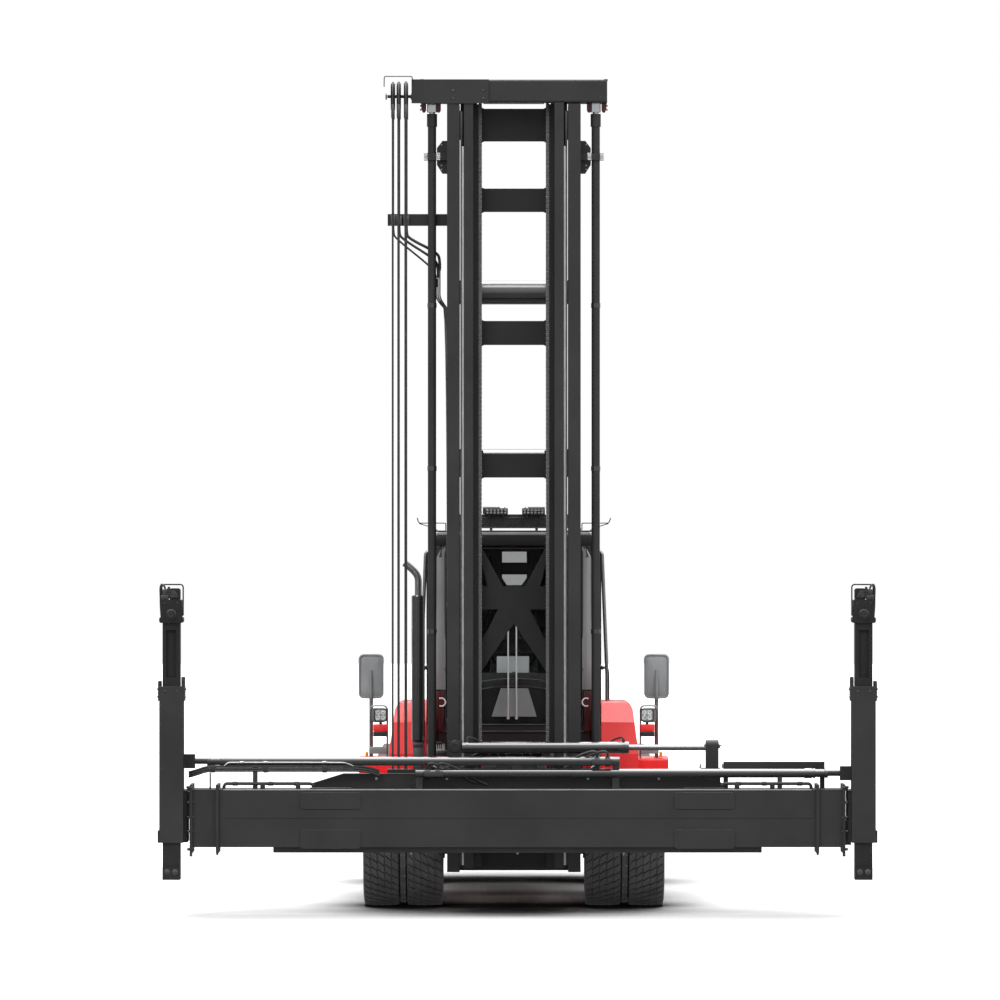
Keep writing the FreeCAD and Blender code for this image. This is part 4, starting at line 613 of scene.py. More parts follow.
sides = (("left", 1), ("right", -1))


# wheels

tyre = {"pitches": 46, "lugDepth": 0.015, "lugEdge": 0.0022, "slot": 0.16, "slant": 0.55, "bead": 0.1125,
        "rimRadius": 0.254, "shoulder": 0.536, "ridge": 0.0025,
        "ribs": [(-0.1205, 0.0275), (-0.0605, 0.0275), (0.0, 0.0285), (0.0605, 0.0275), (0.1205, 0.0275)]}


def tyreProfile(half, radius):
    # closed outline of the casing: side walls with two raised rings, and the crown under the lugs
    crown = radius - tyre["lugDepth"]
    wall = []
    for step in range(15):
        t = step / 14
        reach = tyre["bead"] + (half - tyre["bead"]) * math.sin(math.pi * 0.6 * t) - (0.004 if t == 1 else 0)
        ring = tyre["ridge"] if step in (4, 11) else 0
        wall.append((reach - tyre["ridge"] + ring, tyre["rimRadius"] + (tyre["shoulder"] - tyre["rimRadius"]) * t))
    edge = [(half - 0.014, crown - 0.004), (half - 0.035, crown - 0.001)]
    right = wall + edge + [(half * 0.4, crown)]
    return right + [(-across, r) for across, r in reversed(right)]


def buildTyre(half, radius):
    # one tyre about the X axis at the origin
    bm = bmesh.new()
    addTurned(bm, tyreProfile(half, radius), (0, 0, 0), "x", 96)
    lugs = bmesh.new()
    pitch = 2 * math.pi / tyre["pitches"]
    crown = radius - tyre["lugDepth"] - 0.002
    for row, (centre, width) in enumerate(tyre["ribs"]):
        block = bmesh.ops.create_cube(lugs, size=2)["verts"]
        for point in block:
            across, round_, depth = point.co
            drop = 0.01 * (abs(centre + across * width) / half) ** 4
            reach = radius - drop if depth > 0 else crown - drop
            angle = pitch * (0.5 * (1 - tyre["slot"]) * round_ + tyre["slant"] * across * 0.5 + 0.37 * row)
            point.co = (centre + across * width, reach * math.sin(angle), reach * math.cos(angle))
    bmesh.ops.bevel(lugs, geom=list(lugs.edges), offset=tyre["lugEdge"], segments=1, profile=0.5, affect="EDGES",
                    material=-1)
    bmesh.ops.spin(lugs, geom=list(lugs.verts) + list(lugs.edges) + list(lugs.faces), cent=(0, 0, 0), axis=(1, 0, 0),
                   dvec=(0, 0, 0), angle=2 * math.pi - pitch, steps=tyre["pitches"] - 1, use_duplicate=True)
    bmesh.ops.recalc_face_normals(lugs, faces=lugs.faces)
    treadMesh = bpy.data.meshes.new("tread")
    lugs.to_mesh(treadMesh)
    lugs.free()
    bm.from_mesh(treadMesh)
    bpy.data.meshes.remove(treadMesh)
    addRod(bm, (half - 0.06, 0, tyre["rimRadius"] - 0.03), (half - 0.02, 0, tyre["rimRadius"] - 0.05), 0.006, 8)
    mesh = bpy.data.meshes.new("tyreShape")
    bm.to_mesh(mesh)
    bm.free()
    return mesh


# sizes of the dark ring filling the twin tyre gap (painted shade) and of its studs
gapShade = {"inner": 0.268, "outer": 0.532, "edge": 0.006, "studs": 34, "studRadius": 0.0048, "studOut": 0.004}


def fitGapShade(body, middle, half):
    # dark rubber ring filling the gap between twin tyres: painted shade where that gap lies in shadow, with a row of
    # studs round each edge
    bm = bmesh.new()
    inner, outer, edge = gapShade["inner"], gapShade["outer"], gapShade["edge"]
    addTurned(bm, [(-half, inner), (half, inner), (half, outer - edge), (half - edge, outer), (edge - half, outer),
                   (-half, outer - edge)], middle, "x", 96)
    finishPiece("tyreGapShade_" + body, bm, "tyreRubber", body, (), 30)
    bm = bmesh.new()
    for row in (-0.5, 0.5):
        for i in range(gapShade["studs"]):
            angle = 2 * math.pi * (i + row) / gapShade["studs"]
            way = Vector((0, math.sin(angle), math.cos(angle)))
            foot = middle + Vector((row * half, 0, 0)) + way * (outer - 0.003)
            addRod(bm, foot, foot + way * (0.003 + gapShade["studOut"]), gapShade["studRadius"], 8)
    finishPiece("tyreStuds_" + body, bm, "brightSteel", body)


def fitTyres():
    low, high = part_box("rear_tyre_left")
    half, radius = (high.x - low.x) / 2 - 0.0012, (high.z - low.z) / 2
    shape = buildTyre(half, radius)
    for side, way in sides:
        for node, body in (("front_tyres_" + side, "front_wheel_" + side),
                           ("rear_tyre_" + side, "rear_wheel_" + side)):
            low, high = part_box(node)
            middle = (low + high) / 2
            reach = (high.x - low.x) / 2 - half - 0.0012
            bm = bmesh.new()
            for offset in ((-reach, reach) if reach > 0.05 else (0.0,)):
                copy = shape.copy()
                turn = Matrix.Diagonal((way, 1, 1, 1))
                copy.transform(Matrix.Translation((middle.x + offset, middle.y, middle.z)) @ turn)
                bm.from_mesh(copy)
                bpy.data.meshes.remove(copy)
            finishPiece("tyres_" + body, bm, "tyreRubber", body, (node,), 30)
            if reach > 0.05:
                fitGapShade(body, middle, reach - half - 0.0022)
    bpy.data.meshes.remove(shape)


hub = {"nuts": 16, "nutSize": 0.021, "nutRing": 0.147, "coverBolts": 10, "coverRing": 0.104, "rearNuts": 10,
       "rearRing": 0.172, "face": 0.1735, "cover": 0.1085}


def addNutRing(bm, x, way, centre, count, ring, size):
    for i in range(count):
        angle = 2 * math.pi * i / count
        place = (x, centre.y + ring * math.sin(angle), centre.z + ring * math.cos(angle))
        addBolt(bm, place, (way, 0, 0), size)


def fitHubs():
    # nut rings, planetary cover bolts and drain plug on each wheel
    for side, way in sides:
        low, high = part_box("front_rim_" + side)
        centre = (low + high) / 2
        outer = high.x if way > 0 else low.x
        bm = bmesh.new()
        addNutRing(bm, outer - way * hub["face"], way, centre, hub["nuts"], hub["nutRing"], hub["nutSize"])
        addNutRing(bm, outer - way * hub["cover"], way, centre, hub["coverBolts"], hub["coverRing"], 0.014)
        addBolt(bm, (outer - way * hub["cover"], centre.y, centre.z - 0.04), (way, 0, 0), 0.02)
        finishPiece("wheelNutsFront_" + side, bm, "boltZinc", "front_wheel_" + side)
        low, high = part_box("rear_rim_" + side)
        centre = (low + high) / 2
        outer = high.x if way > 0 else low.x
        bm = bmesh.new()
        disc = outer - way * (high.x - low.x) / 2 + way * 0.059
        addNutRing(bm, disc, way, centre, hub["rearNuts"], hub["rearRing"], hub["nutSize"])
        addNutRing(bm, disc + way * 0.061, way, centre, 6, 0.05, 0.011)
        finishPiece("wheelNutsRear_" + side, bm, "boltZinc", "rear_wheel_" + side)


fitTyres()
fitHubs()
print("wheels done")

# mast

chain = {"pitch": 0.019, "endRadius": 0.008, "thick": 0.0042, "pin": 0.0038, "innerRow": (-0.0055, 0.0055),
         "outerRow": (-0.011, 0.0, 0.011), "sheave": 0.0822, "frontY": -2.34475}


def addLeafChain(bm, x, pins):
    # leaf chain through pin centres given as (y, z): plates side by side, a pin at each joint
    for link, (start, end) in enumerate(zip(pins, pins[1:])):
        along = Vector((0, end[0] - start[0], end[1] - start[1]))
        angle = math.atan2(along.z, along.y)
        middle = Vector((x, (start[0] + end[0]) / 2, (start[1] + end[1]) / 2))
        outline = []
        for step in range(8):
            turn = math.pi * (step % 4) / 3 - math.pi / 2
            way = 1 if step < 4 else -1
            flat = way * (along.length / 2 + chain["endRadius"] * math.cos(turn))
            rise = way * chain["endRadius"] * math.sin(turn)
            outline.append((middle.y + flat * math.cos(angle) - rise * math.sin(angle),
                            middle.z + flat * math.sin(angle) + rise * math.cos(angle)))
        for offset in chain["outerRow"] if link % 2 else chain["innerRow"]:
            addPlate(bm, outline, "x", x + offset - chain["thick"] / 2, x + offset + chain["thick"] / 2)
    for y, z in pins:
        addRod(bm, (x - 0.0145, y, z), (x + 0.0145, y, z), chain["pin"], 6)


def straightPins(y, low, high):
    count = round(abs(high - low) / chain["pitch"])
    return [(y, low + (high - low) * i / count) for i in range(count + 1)]


def hangChains():
    # front strands run up to the header sheave and rear strands come over it and down, all riding on the inner mast
    low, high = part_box("lift_chains")
    centreZ = high.z - 0.091
    centreY = chain["frontY"] + chain["sheave"]
    anchorLow = low.z + 0.03
    bm = bmesh.new()
    for x in (low.x + 0.015, high.x - 0.015):
        addLeafChain(bm, x, straightPins(chain["frontY"], anchorLow, centreZ))
    front = finishPiece("frontChains", bm, "chainSteel", "inner_mast", ("lift_chains",), 40)
    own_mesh(front)
    bm = bmesh.new()
    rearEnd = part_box("outer_crossbars")[0].z + 3.627
    for x in (low.x + 0.015, high.x - 0.015):
        arch = []
        for step in range(9):
            angle = math.pi * step / 8
            arch.append((centreY - chain["sheave"] * math.cos(angle), centreZ + chain["sheave"] * math.sin(angle)))
        addLeafChain(bm, x, arch)
        addLeafChain(bm, x, straightPins(centreY + chain["sheave"], centreZ, rearEnd))
    finishPiece("rearChains", bm, "chainSteel", "inner_mast", (), 40)
    bm = bmesh.new()
    for x in (low.x + 0.015, high.x - 0.015):
        y = chain["frontY"]
        at = pointsFrom(x, y, anchorLow)
        addRod(bm, at(0, 0, -0.085), at(0, 0, -0.02), 0.0125, 12)
        for z in (anchorLow - 0.08, anchorLow - 0.06):
            addRod(bm, (x, y, z), (x, y, z + 0.016), 0.019, 6)
        addBox(bm, at(-0.021, -0.011, -0.03), at(0.021, 0.011, -0.012), 0.003)
        for cheek in (-0.019, 0.019):
            addBox(bm, at(cheek - 0.003, -0.011, -0.02), at(cheek + 0.003, 0.011, 0.014), 0.002)
    finishPiece("chainAnchors", bm, "boltZinc", "carriage")


hose = {"places": (-1.037, -0.987, -0.925), "radii": (0.0085, 0.011, 0.0125), "groove": 0.119,
        "pipeX": (-0.668, -0.652, -0.636), "pipeTop": (5.48, 5.56, 5.62), "pipeFoot": 5.27}


def hangHoses():
    low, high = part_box("mast_hoses")
    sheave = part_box("mast_header")
    centreY, centreZ = (low.y + high.y) / 2, high.z - hose["groove"] - 0.011
    reach = hose["groove"]
    foot = low.z
    bm = bmesh.new()
    for x, radius in zip(hose["places"], hose["radii"]):
        addRod(bm, (x, centreY - reach, foot), (x, centreY - reach, centreZ), radius, 16)
    front = finishPiece("frontHoses", bm, "hoseRubber", "inner_mast", ("mast_hoses",), 40)
    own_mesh(front)
    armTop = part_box("outer_rail_right")[1].z - 0.935
    bm = bmesh.new()
    corner = reach * math.tan(math.pi / 8)
    for x, radius in zip(hose["places"], hose["radii"]):
        at = pointsFrom(x, centreY, centreZ)
        route = [at(0, -reach, -0.1), at(0, -reach, -corner), at(0, -reach, corner), at(0, -corner, reach),
                 at(0, corner, reach), at(0, reach, corner), at(0, reach, -corner), at(0, reach, -0.2),
                 (x, centreY + reach, armTop)]
        addPipe(bm, route, radius)
    finishPiece("rearHoses", bm, "hoseRubber", "inner_mast", (), 40)
    bm = bmesh.new()
    for x, radius in zip(hose["places"], hose["radii"]):
        for y, top in ((centreY - reach, centreZ - 0.075), (centreY + reach, centreZ - 0.075)):
            addRod(bm, (x, y, top - 0.115), (x, y, top), radius + 0.0055, 14, None, 0.002)
    finishPiece("hoseSleeves", bm, "darkSteel", "inner_mast")
    bm = bmesh.new()
    armY = centreY + reach
    for x, radius, pipeX, pipeTop in zip(hose["places"], hose["radii"], hose["pipeX"], hose["pipeTop"]):
        at = pointsFrom(x, armY, armTop)
        end = pointsFrom(pipeX, armY, pipeTop)
        addPipe(bm, [at(0, 0, 0.01), at(0, 0, -0.16), at(0.02, 0, -0.21), end(-0.02, 0.01, 0.035),
                     end(0, 0.01, -0.03), end(0, 0.01, -0.1)], radius)
    finishPiece("crossHoses", bm, "hoseRubber", "outer_mast")
    bm = bmesh.new()
    for x, radius in zip(hose["places"], hose["radii"]):
        at = pointsFrom(x, armY, armTop)
        addBox(bm, at(-radius - 0.012, -0.018, -0.1), at(radius + 0.012, 0.012, -0.012), 0.004)
        addBolt(bm, at(0, -0.018, -0.055), (0, -1, 0), 0.012)
    for pipeX, pipeTop in zip(hose["pipeX"], hose["pipeTop"]):
        end = pointsFrom(pipeX, armY, pipeTop)
        addRod(bm, end(0, 0.01, -0.12), end(0, 0.01, -0.05), 0.012, 6)
    finishPiece("hoseClamps", bm, "darkSteel", "outer_mast")
    bm = bmesh.new()
    for pipeX, pipeTop in zip(hose["pipeX"], hose["pipeTop"]):
        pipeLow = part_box("outer_rail_right")[0].z + 1.1
        addPipe(bm, [(pipeX, armY + 0.01, pipeTop - 0.1), (pipeX, armY + 0.01, hose["pipeFoot"] + 0.06),
                     (pipeX, armY + 0.01, hose["pipeFoot"]), (pipeX + 0.03, armY + 0.06, hose["pipeFoot"] - 0.05),
                     (pipeX * 0.5 - 0.235, armY + 0.09, hose["pipeFoot"] - 0.12),
                     (pipeX * 0.5 - 0.235, armY + 0.09, pipeLow)], 0.0065)
    for z in (hose["pipeFoot"] - 0.16, 3.9, 2.6, 1.6):
        addBox(bm, (-0.578, armY + 0.075, z), (-0.545, armY + 0.105, z + 0.05), 0.004)
    finishPiece("mastPipes", bm, "pipeSteel", "outer_mast")
    bm = bmesh.new()
    x0, x1, top = sheave[0].x - 0.026, sheave[0].x + 0.213, centreZ + reach + 0.048
    left, right = pointsFrom(x0, centreY, top), pointsFrom(x1, centreY, top)
    addPipe(bm, [left(0, -0.1, -0.09), left(0, -0.1, -0.02), left(0.004, -0.1, 0), left(0.03, -0.1, 0),
                 right(-0.02, -0.1, 0), right(0, -0.1, -0.002), right(0.004, -0.1, -0.03),
                 right(0.004, -0.06, -0.06)], 0.0045)
    for x in (x0 + 0.01, sheave[0].x + 0.2):
        addRod(bm, (x, centreY, centreZ), (x + 0.012, centreY, centreZ), 0.027, 6)
    finishPiece("sheaveGuard", bm, "darkSteel", "inner_mast")


header = {"boltX": (-0.521, -0.264), "boltZ": (7.039, 6.97), "cheekIn": 0.627, "cheekOut": 0.795, "cheekWide": 0.042}


bars = {"spans": ((3.727, 3.967), (5.22, 5.42), (6.637, 6.882)), "front": -2.0825, "half": 0.43, "film": 0.0016}


def coatBars():
    # glossy film on the round rear cross tubes
    bm = bmesh.new()
    for low, high in bars["spans"]:
        radius = (high - low) / 2
        addTurned(bm, [(-bars["half"], radius + 0.0003), (-bars["half"], radius + bars["film"]),
                       (bars["half"], radius + bars["film"]), (bars["half"], radius + 0.0003)],
                  (0, bars["front"] + radius, (low + high) / 2), "x", 72)
    finishPiece("barFilms", bm, "barrelBlack", "outer_mast")


def dressHeader():
    low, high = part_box("mast_header")
    face = low.y + 0.039
    bm = bmesh.new()
    for x in header["boltX"]:
        for z in header["boltZ"]:
            addBolt(bm, (x, face, z), (0, -1, 0), 0.017)
    for way in (-1, 1):
        for z in (high.z - 0.045, high.z - 0.15):
            addBolt(bm, (way * 0.74, face + 0.016, z), (0, -1, 0), 0.008)
    finishPiece("headerBolts", bm, "darkSteel", "inner_mast")
    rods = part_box("lift_rods")
    # cheeks at the rod tops in the darkened red: painted shade under the header
    bm = bmesh.new()
    for x in (header["cheekIn"], header["cheekOut"] - header["cheekWide"]):
        top = rods[1].z
        addPlate(bm, [(x, top), (x + header["cheekWide"], top), (x + header["cheekWide"], top - 0.05),
                      (x + header["cheekWide"] - 0.012, top - 0.078), (x + 0.012, top - 0.078), (x, top - 0.06)],
                 "y", rods[0].y - 0.012, rods[1].y + 0.012, 0.003)
    addMirrored(bm)
    finishPiece("rodCheeks", bm, "deepRed", "inner_mast")
    bm = bmesh.new()
    middle = (rods[0].y + rods[1].y) / 2
    addTurned(bm, [(0.0, 0.0262), (0.0, 0.037), (0.028, 0.04), (0.06, 0.034), (0.074, 0.034), (0.074, 0.0262)],
              (clamp["x"], middle, rods[1].z - 0.078), "z", 28)
    addMirrored(bm)
    finishPiece("rodCovers", bm, "mastBlack", "inner_mast")
    bm = bmesh.new()
    for z in (rods[1].z - 0.02, rods[1].z - 0.055):
        addBolt(bm, (header["cheekOut"], (rods[0].y + rods[1].y) / 2, z), (1, 0, 0), 0.014)
    addBox(bm, (0.772, face + 0.02, high.z - 0.014), (0.805, face + 0.1, high.z + 0.004), 0.004)
    addMirrored(bm)
    finishPiece("headerStuds", bm, "darkSteel", "inner_mast")


clamp = {"x": 0.703, "z": 6.477, "ribs": 6, "plateBolts": (0.105, -0.075, -0.11)}


def dressClamps():
    low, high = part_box("lift_barrels")
    y = (low.y + high.y) / 2
    bm = bmesh.new()
    for x0, x1 in ((0.633, 0.665), (0.741, 0.772)):
        for rib in range(clamp["ribs"]):
            z = clamp["z"] - 0.027 + rib * 0.0108
            addRod(bm, (x0, y - 0.046, z), (x1, y - 0.046, z), 0.006, 8)
    addMirrored(bm)
    finishPiece("clampNuts", bm, "boltZinc", "outer_mast")
    bm = bmesh.new()
    for lift in clamp["plateBolts"]:
        addBolt(bm, (0.622, y - 0.012, clamp["z"] + lift), (0, -1, 0), 0.009)
    addMirrored(bm)
    finishPiece("clampBolts", bm, "boltZinc", "outer_mast")
    at = pointsFrom(clamp["x"], y, low.z)
    bm = bmesh.new()
    for z in (low.z + 0.12, 2.4, 3.8, 5.2):
        addBand(bm, (clamp["x"], y, z), "z", 0.02, 0.0365, 0.0405, 24)
    addRod(bm, at(0, 0, 0.02), at(0, 0, 0.06), 0.043, 20, None, 0.004)
    addRod(bm, at(0, -0.03, 0.1), at(0, -0.062, 0.1), 0.015, 6)
    addPipe(bm, [at(0, -0.05, 0.1), (0.7, y - 0.075, low.z + 0.1), (0.66, y - 0.08, low.z + 0.08),
                 (0.62, y - 0.075, low.z - 0.02), (0.6, y - 0.02, low.z - 0.15)], 0.011)
    addMirrored(bm)
    finishPiece("barrelBands", bm, "barrelBlack", "outer_mast")


hangChains()
hangHoses()
coatBars()
dressHeader()
dressClamps()
print("mast done")


# spreader

beam = {"padIn": 1.324, "padOut": 1.842, "padThick": 0.008, "padCorner": 0.034, "seamRise": 0.246, "railIn": 1.73,
        "railOut": 2.49, "railRise": 0.046, "stripIn": 1.41, "stripOut": 1.76,
        "knobs": (0.49, 0.38, 0.253, 0.135, -0.017)}


def dressBeam():
    low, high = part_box("spreader_frame")
    middle = (low.x + high.x) / 2
    front = low.y + 0.03
    bottom, top = low.z + 0.05, low.z + 0.539
    at = pointsFrom(middle, front, bottom)
    upper = pointsFrom(middle, front, top)
    bm = bmesh.new()
    for drop0, drop1 in ((-0.168, -0.023), (-0.503, -0.34)):
        addBox(bm, upper(beam["padIn"], -beam["padThick"], drop0), upper(beam["padOut"], 0.002, drop1), 0.002, 1,
               ("y", beam["padCorner"]))
    addBox(bm, upper(beam["stripIn"], 0.02, -0.002), upper(beam["stripOut"], 0.15, 0.012), 0.003)
    addBox(bm, at(0.35, 0.05, -0.049), at(2.07, 0.33, 0.001), 0.006)
    addMirrored(bm, middle)
    addBox(bm, at(-0.36, 0.05, -0.049), at(0.36, 0.33, 0.001), 0.006)
    finishPiece("beamPads", bm, "mastBlack", "spreader")
    # weld lines in the darker copy of the mast paint: painted shade along the seams
    bm = bmesh.new()
    addRod(bm, at(-2.5, 0, beam["seamRise"]), at(2.5, 0, beam["seamRise"]), 0.0035, 8)
    for x in (middle - beam["padOut"], middle + beam["padIn"]):
        for z in (top - 0.023, top - 0.168, top - 0.34):
            addRod(bm, (x + 0.03, front - 0.001, z), (x + 0.488, front - 0.001, z), 0.003, 6)
    finishPiece("weldBeads", bm, "crossBlack", "spreader")
    # pale grey rod along the top front edge of the beam: a painted highlight for the light its top face catches
    bm = bmesh.new()
    addRod(bm, upper(-2.49, 0.003, -0.003), upper(2.49, 0.003, -0.003), 0.0055, 8)
    finishPiece("beamEdgeHighlight", bm, "greyPlastic", "spreader")
    bm = bmesh.new()
    z = top + beam["railRise"]
    rail = pointsFrom(middle, front, z)
    addPipe(bm, [rail(beam["railIn"], 0.09, -0.02), rail(beam["railIn"] + 0.01, 0.09, 0),
                 rail(beam["railIn"] + 0.06, 0.09, 0), rail(beam["railOut"] - 0.06, 0.09, 0),
                 rail(beam["railOut"], 0.09, 0), rail(beam["railOut"], 0.09, -0.047)], 0.0145)
    for x in (beam["railOut"] - 0.35, beam["railOut"] - 0.65):
        addBox(bm, upper(x, 0.07, -0.002), rail(x + 0.04, 0.11, 0.006), 0.003)
    for x in (beam["railOut"] - 0.12, beam["railOut"] - 0.42, beam["railIn"] + 0.12):
        addRod(bm, rail(x, 0.09, 0), rail(x + 0.045, 0.09, 0), 0.0185, 12, None, 0.003)
    addMirrored(bm, middle)
    finishPiece("beamRails", bm, "mastBlack", "spreader")
    bm = bmesh.new()
    outer = high.x
    ends, tops = pointsFrom(outer, front, bottom), pointsFrom(outer, front, top)
    for rise in beam["knobs"]:
        z = bottom + rise
        knob = pointsFrom(outer, front, z)
        addRod(bm, knob(0, -0.008, 0), knob(0.022, -0.008, 0), 0.012, 10, None, 0.003)
        addRod(bm, knob(-0.034, -0.008, 0), knob(-0.024, -0.008, 0), 0.009, 6)
    addBox(bm, tops(-0.03, -0.036, 0.012), tops(0.028, 0.02, 0.03), 0.004)
    addRod(bm, ends(-0.012, -0.015, -0.078), ends(-0.012, -0.015, -0.045), 0.014, 10, None, 0.003)
    addRod(bm, ends(-0.235, -0.015, -0.066), ends(-0.235, -0.015, -0.045), 0.011, 10)
    addMirrored(bm, middle)
    finishPiece("collarKnobs", bm, "darkSteel", "spreader")
    bm = bmesh.new()
    for x in (-0.9, 0.0, 0.9):
        for y in (front + 0.06, front + 0.32):
            addBolt(bm, (middle + x, y, bottom - 0.049), (0, 0, -1), 0.016)
    for x in (-1.2, -0.6, 0.6, 1.2):
        addBolt(bm, upper(x, 0.24, 0.082), (0, -1, 0), 0.016)
    finishPiece("beamBolts", bm, "boltZinc", "spreader")


arm = {"glandRadius": 0.034}


def dressArms():
    for side, way in sides:
        low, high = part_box("arm_barrel_" + side)
        y = low.y + 0.0445
        z = high.z - 0.038 if way < 0 else low.z + 0.132
        outer = high.x if way > 0 else low.x
        inner = low.x if way > 0 else high.x
        at, back = pointsFrom(outer, y, z, way), pointsFrom(inner, y, z, way)
        bm = bmesh.new()
        addTurned(bm, [(0.0, 0.0252), (0.0, 0.041), (way * 0.02, 0.042), (way * 0.022, arm["glandRadius"]),
                       (way * 0.1, arm["glandRadius"]), (way * 0.103, 0.04), (way * 0.128, 0.04),
                       (way * 0.13, 0.0252)], at(0, 0, 0), "x", 32)
        for along in (0.045, 0.062, 0.079):
            addBand(bm, at(along, 0, 0), "x", 0.003, 0.0335, 0.0365, 32, 0.001)
        addBand(bm, at(-0.04, 0, 0), "x", 0.03, 0.0385, 0.0435, 32)
        finishPiece("armGland_" + side, bm, "barrelBlack", "spreader")
        bm = bmesh.new()
        addTurned(bm, [(0.0, 0.0242), (0.0, 0.0246), (way * 0.342, 0.0246), (way * 0.342, 0.0242)], at(-0.072, 0, 0),
                  "x", 32)
        finishPiece("armRodChrome_" + side, bm, "pipeSteel", "telescope_" + side)
        bm = bmesh.new()
        for along in (0.1, 0.19):
            x = inner + way * along
            valve = pointsFrom(x, y, z)
            addBand(bm, (x, y, z), "x", 0.022, 0.0385, 0.0465, 28)
            addRod(bm, valve(0, -0.02, 0.03), valve(0, -0.034, 0.062), 0.013, 6)
            addRod(bm, valve(0, -0.03, -0.012), valve(0, -0.066, -0.012), 0.015, 8)
        for i in range(4):
            addRod(bm, back(0.075 + 0.05 * i, -0.045, -0.02), back(0.075 + 0.05 * i, -0.045, 0.02), 0.008, 8)
        addBox(bm, back(0.07, -0.07, -0.028), back(0.235, -0.036, 0.018), 0.006)
        finishPiece("armValves_" + side, bm, "trimPlastic", "spreader")
        bm = bmesh.new()
        for drop, spread in ((0.0, 0.1), (0.012, 0.19)):
            hoseEnd = pointsFrom(inner + way * spread, y, z, way)
            addPipe(bm, [hoseEnd(0, -0.034, 0.058), hoseEnd(0, -0.044, 0.082), hoseEnd(0.06, -0.04, 0.088),
                         hoseEnd(0.2, -0.02, 0.03), hoseEnd(0.3, 0.03, -0.04 - drop),
                         hoseEnd(0.42, 0.07, -0.09 - drop)], 0.009)
        finishPiece("armHoses_" + side, bm, "hoseRubber", "spreader")
    # steel line on clips above a bundle of hoses, from behind the left end collar to the carriage
    low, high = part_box("spreader_frame")
    y, top = low.y + 0.13, high.z
    at = pointsFrom(low.x, y, top)
    bm = bmesh.new()
    addPipe(bm, [at(0.29, 0, -0.21), at(0.31, 0, -0.182), at(0.36, 0, -0.18), at(1.26, 0, -0.18),
                 at(1.34, 0, -0.185), at(1.4, 0.03, -0.22)], 0.0075)
    for x in (0.42, 0.62, 1.12):
        addRod(bm, at(x, 0, -0.18), at(x + 0.035, 0, -0.18), 0.013, 12, None, 0.003)
    finishPiece("beamLine", bm, "pipeSteel", "spreader")
    bm = bmesh.new()
    for drop in (0.0, 0.019, 0.038):
        bundle = pointsFrom(low.x, y, top - 0.212 - drop)
        addPipe(bm, [bundle(-0.015, 0.02, -0.05), bundle(0.05, 0.02, -0.035), bundle(0.14, 0.02, 0),
                     bundle(0.3, 0.02, 0), bundle(1.3, 0.02, 0), bundle(1.5, 0.03, 0), bundle(1.6, 0.08, -0.04)],
                0.0098)
    addRod(bm, at(0.17, 0, -0.265), at(0.17, 0, -0.405), 0.007, 8)
    for x in (0.17, 0.62, 1.12):
        addBox(bm, at(x, 0.006, -0.265), at(x + 0.04, 0.036, -0.198), 0.004)
    finishPiece("beamBundle", bm, "hoseRubber", "spreader")


lockHead = {"hoseRadius": 0.0075, "flange": 2.222, "pin": 2.244, "nut": 0.066}


